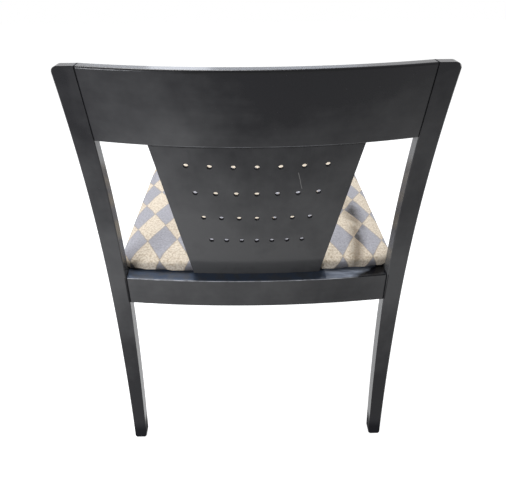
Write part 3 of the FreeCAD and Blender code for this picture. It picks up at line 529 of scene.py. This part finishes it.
# %% Put the finishes on
EDGE_ROUNDING = 0.8 * MM
SHARP_EDGE = math.radians(28)


def dress(node, material, rounded):
    """Put a material on a node and, on painted wood, round its edges."""
    node.data.materials.clear()
    node.data.materials.append(material)
    if rounded:
        bevel = node.modifiers.new("eased_edges", "BEVEL")
        bevel.width = EDGE_ROUNDING
        bevel.segments = 2
        bevel.limit_method = "ANGLE"
        bevel.angle_limit = SHARP_EDGE
        bevel.harden_normals = True


for slot_name, members in FINISHES.items():
    for node_name, material in members.items():
        dress(NODES[node_name], material, slot_name == "painted_wood")
print(f"edges of the painted boards rounded by {EDGE_ROUNDING / MM:.1f} mm")

# %% [markdown]
# ## The seat's form
#
# A slip seat is drawn in at the foot, fullest a little above it, rolls over a soft edge and rises in a
# low crown. Twelve level outlines give that profile, each one a trapezium with rounded corners and a
# bowed rear edge. Beside the splat, the cloth bulges a little to the rear. The skin between the outlines
# is a plain mesh to start with; cloth simulation makes it look stuffed afterwards.

# %% The seat's sizes
SEAT_LOW, SEAT_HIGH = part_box("seat_cover")
SEAT_RISE = SEAT_HIGH.z - SEAT_LOW.z
HALF_WIDTH = SEAT_HIGH.x
REAR_CORNER = 32 * MM
FRONT_CORNER = 42 * MM
CORNER_GROWTH = 0.2
REAR_BOW_RADIUS = 1.928
INSET_SHARES = (0.004, 0.001, 0.0, 0.002, 0.012, 0.034, 0.075, 0.135, 0.215, 0.315, 0.435, 0.580)
RISE_SHARES = (0.0, 0.11, 0.25, 0.38, 0.50, 0.60, 0.69, 0.77, 0.84, 0.90, 0.95, 1.0)
CORNER_POINTS = 14
SIDE_POINTS = 30
REAR_BULGE = 5 * MM
BULGE_FROM_X, BULGE_GROWS_X = 105 * MM, 0.020
BULGE_FROM_Y, BULGE_GROWS_Y = 0.10, 0.05
print(f"the seat is {2 * HALF_WIDTH:.3f} m wide and {SEAT_RISE / MM:.1f} mm thick")

# %% One level outline


def arc_points(centre, radius, first, last, count):
    """Points along an arc, both ends included; the angles are in radians."""
    angles = [first + (last - first) * step / count for step in range(count + 1)]
    return [(centre[0] + radius * math.cos(angle), centre[1] + radius * math.sin(angle)) for angle in angles]


def bulged(x, y):
    """A place on the outline; beside the splat, the cloth bulges a little to the rear."""
    beside_splat = min(1.0, max(0.0, (abs(x) - BULGE_FROM_X) / BULGE_GROWS_X))
    at_rear = min(1.0, max(0.0, (y - BULGE_FROM_Y) / BULGE_GROWS_Y))
    return x, y + REAR_BULGE * beside_splat * at_rear


def seat_outline(inset):
    """Points round the seat in plan, this far inside its widest line; the rear edge is bowed."""
    half = HALF_WIDTH - inset
    rear = REAR_CORNER + inset * CORNER_GROWTH
    front = FRONT_CORNER + inset * CORNER_GROWTH
    front_y = SEAT_LOW.y + inset + front
    bow = REAR_BOW_RADIUS - inset
    bow_y = SEAT_HIGH.y - REAR_BOW_RADIUS
    lean = math.asin((half - rear) / (bow - rear))
    corner_y = bow_y + (bow - rear) * math.cos(lean)
    quarter = math.pi / 2
    arcs = [
        arc_points((half - rear, corner_y), rear, 0, quarter - lean, CORNER_POINTS),
        arc_points((0, bow_y), bow, quarter - lean, quarter + lean, SIDE_POINTS),
        arc_points((rear - half, corner_y), rear, quarter + lean, 2 * quarter, CORNER_POINTS),
        arc_points((front - half, front_y), front, 2 * quarter, 3 * quarter, CORNER_POINTS),
        arc_points((half - front, front_y), front, 3 * quarter, 4 * quarter, CORNER_POINTS),
    ]
    points = []
    for number, arc in enumerate(arcs):
        start, stop = Vector(arc[-1]), Vector(arcs[(number + 1) % len(arcs)][0])
        points += arc
        if (stop - start).length > 1e-6:
            points += [tuple(start.lerp(stop, step / SIDE_POINTS)) for step in range(1, SIDE_POINTS)]
        else:
            points.pop()
    return [bulged(x, y) for x, y in points]


print(f"{len(seat_outline(0.0))} points round the seat")

# %% [markdown]
# ## From outlines to an even skin
#
# The outlines are joined by quads into one closed form. Cloth needs small quads of the same size all
# over, which a voxel remesh gives. The crown is made a few millimetres low, because the stuffing
# lifts it back to its real height.

# %% Mesh helpers


def mesh_object(name, points, faces):
    """A new mesh object in the scene."""
    mesh = bpy.data.meshes.new(name)
    mesh.from_pydata(points, [], faces)
    mesh.validate()
    piece = bpy.data.objects.new(name, mesh)
    bpy.context.scene.collection.objects.link(piece)
    return piece


def apply_modifiers(piece):
    """Turn what the modifiers show into the piece's own mesh."""
    graph = bpy.context.evaluated_depsgraph_get()
    shown = bpy.data.meshes.new_from_object(piece.evaluated_get(graph))
    old = piece.data
    piece.modifiers.clear()
    piece.data = shown
    bpy.data.meshes.remove(old)


def remesh(piece, voxel):
    """Even small quads all over, which cloth needs."""
    modifier = piece.modifiers.new("even", "REMESH")
    modifier.mode = "VOXEL"
    modifier.voxel_size = voxel
    modifier.use_smooth_shade = True
    apply_modifiers(piece)


def positions(piece):
    """The piece's points as an array."""
    flat = np.empty(len(piece.data.vertices) * 3, np.float32)
    piece.data.vertices.foreach_get("co", flat)
    return flat.reshape(-1, 3).astype(float)


def set_positions(piece, points):
    """Write an array back as the piece's points."""
    piece.data.vertices.foreach_set("co", points.astype(np.float32).ravel())
    piece.data.update()


# %% The cover before it is stuffed
COVER_SKIN = 1.5 * MM
COVER_VOXEL = 5 * MM
SLACK = 3 * MM


def crowned_form(name, skin, slack):
    """The seat's closed form, this far inside its skin; slack lowers the crown before it is inflated."""
    points = []
    for inset_share, rise_share in zip(INSET_SHARES, RISE_SHARES):
        inset = HALF_WIDTH * inset_share + skin
        height = SEAT_LOW.z + skin + (SEAT_RISE - 2 * skin - slack) * rise_share
        points += [(x, y, height) for x, y in seat_outline(inset)]
    count = len(points) // len(INSET_SHARES)
    faces = [tuple(reversed(range(count))), tuple(range(len(points) - count, len(points)))]
    for level in range(len(INSET_SHARES) - 1):
        low, high = level * count, (level + 1) * count
        faces += [(low + step, low + (step + 1) % count, high + (step + 1) % count, high + step)
                  for step in range(count)]
    return mesh_object(name, points, faces)


cover = crowned_form("seat_cover_cloth", COVER_SKIN, SLACK)
remesh(cover, COVER_VOXEL)
print(f"seat form: {len(cover.data.vertices)} points")

# %% [markdown]
#
# Before the seat is stuffed, each point gets the place it had on the flat cloth, worked out by adding
# the way down the side to its place in plan. The shader draws the diamonds from those places.

# %% How the cloth runs over the edge
ROLL_INSET = 34 * MM
FULLEST = 2
TURNED_OVER = 5


def roll_shift(inset, height):
    """How much longer the cloth's way to the edge is than the plan's, at this inset and height."""
    insets = HALF_WIDTH * np.array(INSET_SHARES)
    heights = SEAT_RISE * np.array(RISE_SHARES)
    way = np.concatenate(([0.0], np.cumsum(np.hypot(np.diff(insets), np.diff(heights)))))
    start = np.interp(ROLL_INSET, insets[FULLEST:], way[FULLEST:])
    extra = (start - way) - (ROLL_INSET - insets)
    on_top = np.interp(inset, insets[FULLEST:], extra[FULLEST:])
    on_side = np.interp(height, heights, extra)
    share = np.clip((height - heights[FULLEST]) / (heights[TURNED_OVER] - heights[FULLEST]), 0, 1)
    return np.maximum(0.0, on_side * (1 - share) + on_top * share)


def plan_inset(points):
    """Each point's distance inside the widest outline, and the outline's outward direction there."""
    outline = np.array(seat_outline(0.0))
    edge = np.roll(outline, -1, axis=0) - outline
    length = np.linalg.norm(edge, axis=1)
    keep = length > 1e-7
    outline, edge, length = outline[keep], edge[keep], length[keep]
    outward = np.stack([edge[:, 1], -edge[:, 0]], 1) / length[:, None]
    insets = np.empty(len(points))
    directions = np.empty((len(points), 2))
    for index, point in enumerate(points[:, :2]):
        along = np.clip(((point - outline) * edge).sum(1) / length ** 2, 0, 1)
        gap = point - (outline + along[:, None] * edge)
        distance = np.hypot(gap[:, 0], gap[:, 1])
        nearest = distance.argmin()
        insets[index] = distance[nearest] * (-1 if gap[nearest] @ outward[nearest] > 0 else 1)
        directions[index] = outward[nearest]
    return insets, directions


# %% Keep each point's place on the flat cloth


def lay_flat(piece):
    """Store where each point lay before the cloth was put over the seat, seen from above."""
    points = positions(piece)
    insets, directions = plan_inset(points)
    shift = roll_shift(np.maximum(insets, 0), points[:, 2] - SEAT_LOW.z)
    flat = np.zeros((len(points), 3), np.float32)
    flat[:, :2] = points[:, :2] + directions * shift[:, None]
    attribute = piece.data.attributes.new("flat_cloth", "FLOAT_VECTOR", "POINT")
    attribute.data.foreach_set("vector", flat.ravel())
    print(f"the cloth runs {shift.max() / MM:.0f} mm further than the plan at its edges")


lay_flat(cover)

# %% [markdown]
# ## Stuff the seat
#
# Real upholstery is tight because the foam pushes out against it. Blender's cloth does the same with
# air pressure: the foot is pinned to the board, the rest swells a few millimetres and settles into soft
# even curves. A cap on the travel keeps the seat inside its real size.

# %% Cloth under pressure
PRESSURE = 0.3
LAST_FRAME = 20
TRAVEL_CAP = 6 * MM
PINNED_RISE = 5 * MM
SIDE_BAND = 3 * MM
CROWN_BAND = 6 * MM


def add_cloth(piece):
    """Make the piece a cloth that air pressure swells, pinned at its foot."""
    pinned = [index for index, point in enumerate(positions(piece)) if point[2] < SEAT_LOW.z + PINNED_RISE]
    group = piece.vertex_groups.new(name="pinned")
    group.add(pinned, 1.0, "REPLACE")
    cloth = piece.modifiers.new("cloth", "CLOTH")
    settings = cloth.settings
    settings.quality = 5
    settings.tension_stiffness = 18
    settings.compression_stiffness = 18
    settings.shear_stiffness = 8
    settings.bending_stiffness = 1.2
    settings.use_pressure = True
    settings.uniform_pressure_force = PRESSURE
    settings.effector_weights.gravity = 0
    settings.vertex_group_mass = group.name
    cloth.collision_settings.use_self_collision = False
    cloth.point_cache.frame_start = 1
    cloth.point_cache.frame_end = LAST_FRAME


def inflate(piece):
    """Swell the piece, and keep each point within the cap."""
    start = positions(piece)
    add_cloth(piece)
    for number in range(1, LAST_FRAME + 1):
        bpy.context.scene.frame_set(number)
    apply_modifiers(piece)
    bpy.context.scene.frame_set(1)
    piece.vertex_groups.clear()
    travel = positions(piece) - start
    length = np.linalg.norm(travel, axis=1, keepdims=True)
    travel *= np.minimum(1.0, TRAVEL_CAP / np.maximum(length, 1e-9))
    set_positions(piece, start + travel)
    side = np.abs(start[:, 0]) > SEAT_HIGH.x - SIDE_BAND
    outward = (travel * np.sign(start))[side, 0].mean() / MM
    rise = travel[start[:, 2] > SEAT_HIGH.z - CROWN_BAND, 2].mean() / MM
    print(f"the cloth moved up to {length.max() / MM:.1f} mm: {rise:.1f} up, {outward:.1f} out at the sides")


# %% Stuff it and set it on the frame
SPLAT_ROOM = 1.0 * MM


def rest_on_frame(piece):
    """Keep the seat above the rails and clear of the splat behind it."""
    points = positions(piece)
    points[:, 2] = np.maximum(points[:, 2], SEAT_LOW.z)
    points[:, 1] = np.minimum(points[:, 1], SEAT_HIGH.y + SPLAT_ROOM)
    set_positions(piece, points)


inflate(cover)
rest_on_frame(cover)
print(f"the crown is {positions(cover)[:, 2].max():.3f} m high")

# %% [markdown]
# ## The harlequin check
#
# The diamonds are half as wide as they are long. Two slanting families of lines cross; where the sum of
# the two counts is even the cloth is cream, and slate otherwise. A fine tan thread runs along the
# lines, which waver a little, as woven lines do.

# %% Diamonds and threads
DIAMOND_HALF_WIDTH = 28.9 * MM
DIAMOND_HALF_LENGTH = 53.9 * MM
CHECK_X = 213.7 * MM
CHECK_Y = 12.8 * MM
CHECK_TURN = -0.009
WAVER = 0.0030
THREAD = (0.008, 0.022)


def woven_place(recipe):
    flat = recipe.add("Attribute", attribute_name="flat_cloth").outputs["Vector"]
    inputs = {"Vector": flat, "Angle": CHECK_TURN}
    turned = recipe.add("VectorRotate", inputs, rotation_type="Z_AXIS").outputs[0]
    wobble = recipe.add("TexNoise", {"Vector": turned, "Scale": 60.0, "Detail": 2.0}).outputs["Color"]
    drift = recipe.add("VectorMath", {0: wobble, 1: (0.5, 0.5, 0.5)}, operation="SUBTRACT").outputs[0]
    drift = recipe.add("VectorMath", {0: drift, "Scale": WAVER}, operation="SCALE").outputs[0]
    return recipe.add("VectorMath", {0: turned, 1: drift}, operation="ADD").outputs[0]


def diamonds(recipe, place):
    """1 on slate diamonds and 0 on cream ones, and the share of the thread between them."""
    x, y, _ = recipe.split(place)
    across = recipe.math("DIVIDE", recipe.minus(CHECK_X, x), DIAMOND_HALF_WIDTH)
    along = recipe.math("DIVIDE", recipe.minus(y, CHECK_Y), DIAMOND_HALF_LENGTH)
    first = recipe.times(recipe.plus(along, across), 0.5)
    second = recipe.times(recipe.minus(along, across), 0.5)
    whole = recipe.plus(recipe.math("FLOOR", first), recipe.math("FLOOR", second))
    slate = recipe.size(recipe.math("MODULO", whole, 2.0))
    near = recipe.math("MINIMUM", recipe.math("PINGPONG", first, 0.5), recipe.math("PINGPONG", second, 0.5))
    return slate, recipe.fall(near, *THREAD)


print(f"diamonds {2 * DIAMOND_HALF_WIDTH / MM:.1f} by {2 * DIAMOND_HALF_LENGTH / MM:.1f} mm")

# %% [markdown]
# ## Weave, a painted shadow and a dark foot
#
# The weave is a dense rep: short ribs with a pebbly break, too fine for geometry, so it is drawn as
# relief and as a slight change of colour from thread to thread. A painted shadow runs as a soft
# streak down the rear right corner, browner on the cream and nearly black on the slate, and the slate
# is darker along the foot.

# %% The painted shadow streak
STREAK_X = -0.2060
STREAK_LEAN = 0.12
STREAK_CURVE = 0.028
STREAK_RUN = (0.02, 0.20)
STREAK_START = (-0.06, 0.01)
STREAK_HALF_WIDTH = (2 * MM, 15 * MM)


def shadow_streak_share(recipe, place):
    """A soft curved painted shadow that widens towards its start and is broken up a little."""
    x, y, _ = recipe.split(place)
    run = recipe.rise(y, *STREAK_RUN)
    to_go = recipe.minus(1.0, run)
    middle = recipe.plus(recipe.times(y, STREAK_LEAN), STREAK_X)
    middle = recipe.minus(middle, recipe.times(run, to_go, STREAK_CURVE))
    away = recipe.math("DIVIDE", recipe.size(recipe.minus(x, middle)), recipe.plus(to_go, 1.0))
    broken = recipe.rise(recipe.noise(place, 22.0, 2.0), 0.25, 0.55)
    return recipe.times(recipe.fall(away, *STREAK_HALF_WIDTH), recipe.rise(y, *STREAK_START), broken)


print(f"the streak starts {-STREAK_X:.3f} m to the right")

# %% The cloth's material
CREAM = (0.84, 0.75, 0.62, 1)
CREAM_DEEP = (0.58, 0.47, 0.34, 1)
SLATE = (0.45, 0.445, 0.485, 1)
SLATE_DEEP = (0.31, 0.305, 0.34, 1)
TAN_THREAD = (0.42, 0.33, 0.23, 1)
CLOTH_NEAR_BLACK = (0.040, 0.036, 0.036, 1)
CREAM_IN_SHADOW = (0.17, 0.125, 0.08, 1)
SLATE_DARK_FOOT = (SEAT_LOW.z + 5 * MM, SEAT_LOW.z + 22 * MM)
RIBS_PER_METRE = 900.0


def harlequin_cloth():
    """Cream and slate diamonds in a ribbed, pebbly weave, with a painted shadow streak and a darker slate
    foot.
    """
    recipe = Recipe("harlequin_cloth")
    place = woven_place(recipe)
    is_slate, thread = diamonds(recipe, place)
    fine = recipe.noise(place, 1400.0, 2.0, 0.7)
    pebble = recipe.noise(place, 240.0, 3.0, 0.6)
    # A painted shadow streak on the rear right of the seat.
    shadow_streak = shadow_streak_share(recipe, place)
    foot = recipe.fall(recipe.split(recipe.place())[2], *SLATE_DARK_FOOT)
    cream = recipe.blend(recipe.rise(pebble, 0.36, 0.58), CREAM_DEEP, CREAM)
    cream = recipe.blend(recipe.times(shadow_streak, 0.80), cream, CREAM_IN_SHADOW)
    slate = recipe.blend(recipe.rise(pebble, 0.30, 0.60), SLATE_DEEP, SLATE)
    # The slate is darker along the foot.
    slate = recipe.blend(recipe.times(foot, 0.85), slate, CLOTH_NEAR_BLACK)
    slate = recipe.blend(shadow_streak, slate, CLOTH_NEAR_BLACK)
    colour = recipe.blend(is_slate, cream, slate)
    colour = recipe.blend(recipe.times(thread, 0.7), colour, TAN_THREAD)
    ribs = recipe.math("SINE", recipe.times(recipe.split(place)[1], RIBS_PER_METRE * math.tau))
    relief = recipe.plus(recipe.times(pebble, 0.7), recipe.times(fine, 0.4), recipe.times(ribs, 0.12))
    return recipe.finish(colour, 0.88, relief, 0.0022, Sheen_Weight=0.15, Sheen_Roughness=0.5,
                         Specular_IOR_Level=0.25)


HARLEQUIN = harlequin_cloth()
print(HARLEQUIN.name, "made")

# %% [markdown]
# ## Cut and close the cover
#
# The cover isn't a bag: it is turned under the board by a finger's width and stapled there, and a thin
# lining closes the middle. So the bottom is cut open, and the cloth gets its thickness.

# %% Open the cover below
TURN_UNDER = 22 * MM
BOTTOM_DEPTH = 2.5 * MM


def open_below(piece):
    """Take away the faces of the flat bottom inside the turned-under edge."""
    points = positions(piece)
    insets, _ = plan_inset(points)
    gone = (points[:, 2] < SEAT_LOW.z + BOTTOM_DEPTH) & (insets > TURN_UNDER)
    faces = [polygon.vertices[:] for polygon in piece.data.polygons]
    faces = [face for face in faces if not all(gone[vertex] for vertex in face)]
    used = sorted({vertex for face in faces for vertex in face})
    index = {vertex: number for number, vertex in enumerate(used)}
    flat = np.empty(len(points) * 3, np.float32)
    piece.data.attributes["flat_cloth"].data.foreach_get("vector", flat)
    mesh = bpy.data.meshes.new(piece.name)
    kept_points = [tuple(points[vertex]) for vertex in used]
    mesh.from_pydata(kept_points, [], [tuple(index[vertex] for vertex in face) for face in faces])
    attribute = mesh.attributes.new("flat_cloth", "FLOAT_VECTOR", "POINT")
    attribute.data.foreach_set("vector", flat.reshape(-1, 3)[used].ravel())
    piece.data = mesh
    mesh.shade_smooth()


open_below(cover)
print(f"cover: {len(cover.data.polygons)} faces")

# %% Give the cloth its thickness and hand it over
CLOTH_THICKNESS = 1.2 * MM

cover.data.materials.append(HARLEQUIN)
smoother = cover.modifiers.new("finer", "SUBSURF")
smoother.levels = 1
smoother.render_levels = 1
thickness = cover.modifiers.new("cloth_thickness", "SOLIDIFY")
thickness.thickness = CLOTH_THICKNESS
thickness.offset = -1
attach(cover, "root")
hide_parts("seat_cover")
print(f"the cloth is {CLOTH_THICKNESS / MM:.1f} mm thick")

# %% [markdown]
# ## The foam
#
# Under the cloth lies a block of upholstery foam with the same crown. It never shows, but it is a piece
# of the chair, so it has its own mesh, a little inside the cover and flat where it lies on the board.

# %% Foam pad
FOAM_SKIN = 6 * MM
FOAM_VOXEL = 10 * MM
BOARD_GAP = 0.3 * MM


def foam_pad():
    """The foam, crowned above and flat where it lies on the board."""
    piece = crowned_form("seat_foam_pad", FOAM_SKIN, SLACK)
    remesh(piece, FOAM_VOXEL)
    board_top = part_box("seat_board")[1].z
    points = positions(piece)
    points[:, 2] = np.maximum(points[:, 2], board_top + BOARD_GAP)
    set_positions(piece, points)
    return piece


def foam_material():
    """Pale open-cell foam."""
    recipe = Recipe("upholstery_foam")
    cells = recipe.cells(recipe.place(), 900.0)
    colour = recipe.blend(cells, (0.62, 0.55, 0.36, 1), (0.80, 0.74, 0.55, 1))
    return recipe.finish(colour, 0.95, cells, 0.0004)


foam = foam_pad()
foam.data.materials.append(foam_material())
foam.data.shade_smooth()
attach(foam, "root")
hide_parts("seat_foam")
print(f"foam: {len(foam.data.polygons)} faces")

# %% [markdown]
# ## Floor and sky
#
# The photograph is a cut-out on white. The floor and the sky look white to the camera and in
# reflections, while the light they throw on the chair stays moderate. Both do it by asking which kind of
# ray has reached them.

# %% Floor
FLOOR_HALF = 6.0
FLOOR_GLOW = 0.93


def floor_material():
    """White to the eye, keeps soft shadows, and throws back only some light."""
    recipe = Recipe("floor_white")
    path = recipe.add("LightPath")
    seen = recipe.math("MAXIMUM", path.outputs["Is Camera Ray"], path.outputs["Is Glossy Ray"])
    seen = recipe.math("MAXIMUM", seen, path.outputs["Is Transmission Ray"])
    pale = recipe.add("BsdfDiffuse", {"Color": (0.4, 0.4, 0.4, 1)})
    white = recipe.add("Emission", {"Color": (1, 1, 1, 1), "Strength": FLOOR_GLOW})
    lit = recipe.add("AddShader", {0: pale.outputs[0], 1: white.outputs[0]})
    plain = recipe.add("BsdfDiffuse", {"Color": (0.45, 0.45, 0.45, 1)})
    mix = recipe.add("MixShader", {0: seen, 1: plain.outputs[0], 2: lit.outputs[0]})
    recipe.add("OutputMaterial", {"Surface": mix.outputs[0]})
    return recipe.material


corners = [(x * FLOOR_HALF, y * FLOOR_HALF, 0) for x, y in ((-1, -1), (1, -1), (1, 1), (-1, 1))]
floor = mesh_object("floor", corners, [(0, 1, 2, 3)])
floor.data.materials.append(floor_material())
print(f"floor: {2 * FLOOR_HALF:.0f} m across")

# %% Sky
SKY_LIGHT = 0.23


def build_sky():
    """A plain sky: white where it is seen, softer as light."""
    world = bpy.data.worlds.new("sky")
    world.use_nodes = True
    tree = world.node_tree
    tree.nodes.clear()
    path = tree.nodes.new("ShaderNodeLightPath")
    seen = path.outputs["Is Camera Ray"]
    for name in ("Is Glossy Ray", "Is Transmission Ray"):
        either = tree.nodes.new("ShaderNodeMath")
        either.operation = "MAXIMUM"
        tree.links.new(seen, either.inputs[0])
        tree.links.new(path.outputs[name], either.inputs[1])
        seen = either.outputs[0]
    shades = []
    for strength in (SKY_LIGHT, 1.0):
        shade = tree.nodes.new("ShaderNodeBackground")
        shade.inputs["Color"].default_value = (1, 1, 1, 1)
        shade.inputs["Strength"].default_value = strength
        shades.append(shade)
    mix = tree.nodes.new("ShaderNodeMixShader")
    tree.links.new(seen, mix.inputs[0])
    tree.links.new(shades[0].outputs[0], mix.inputs[1])
    tree.links.new(shades[1].outputs[0], mix.inputs[2])
    output = tree.nodes.new("ShaderNodeOutputWorld")
    tree.links.new(mix.outputs[0], output.inputs[0])
    bpy.context.scene.world = world


build_sky()
print(f"the sky lights the chair at {SKY_LIGHT}")

# %% [markdown]
# ## Lamps
#
# Satin black is mostly drawn by what it reflects. A wide lamp overhead lights the seat. A cool window in
# front gives the ledge and the crest's top their bluish gleam, with a small one lower down for the
# crest. One lamp on the right opens the inner face of the left post, and one behind us on the left
# makes the back of the chair fade from left to right.

# %% Set up the lamps


def add_lamp(name, place, target, size, power, colour=(1, 1, 1)):
    """A soft lamp, this wide and high, aimed at a point."""
    data = bpy.data.lights.new(name, "AREA")
    data.shape = "RECTANGLE"
    data.size, data.size_y = size
    data.energy = power
    data.color = colour
    lamp = bpy.data.objects.new(name, data)
    lamp.location = place
    lamp.rotation_euler = (Vector(target) - Vector(place)).to_track_quat("-Z", "Y").to_euler()
    lamp.visible_camera = False
    bpy.context.scene.collection.objects.link(lamp)


add_lamp("overhead", (0.4, -0.5, 2.2), (0, -0.1, 0.45), (1.2, 1.2), 46)
add_lamp("window_front", (0.13, -2.2, 2.0), (0, 0.2, 0.43), (1.76, 0.9), 16, (0.80, 0.92, 1.16))
add_lamp("window_low", (0.40, -2.0, 1.32), (0.1, 0.25, 0.82), (0.35, 0.35), 0.7, (0.92, 0.96, 1.05))
add_lamp("right_front", (-1.4, 0.0, 0.9), (0.25, 0.2, 0.6), (0.6, 0.6), 7)
add_lamp("behind_left", (1.0, 1.05, 0.70), (0.1, 0.22, 0.55), (0.5, 0.5), 12, (0.97, 0.99, 1.04))
bpy.context.scene.view_settings.view_transform = "Standard"
print(f"{len(bpy.data.lights)} lamps")
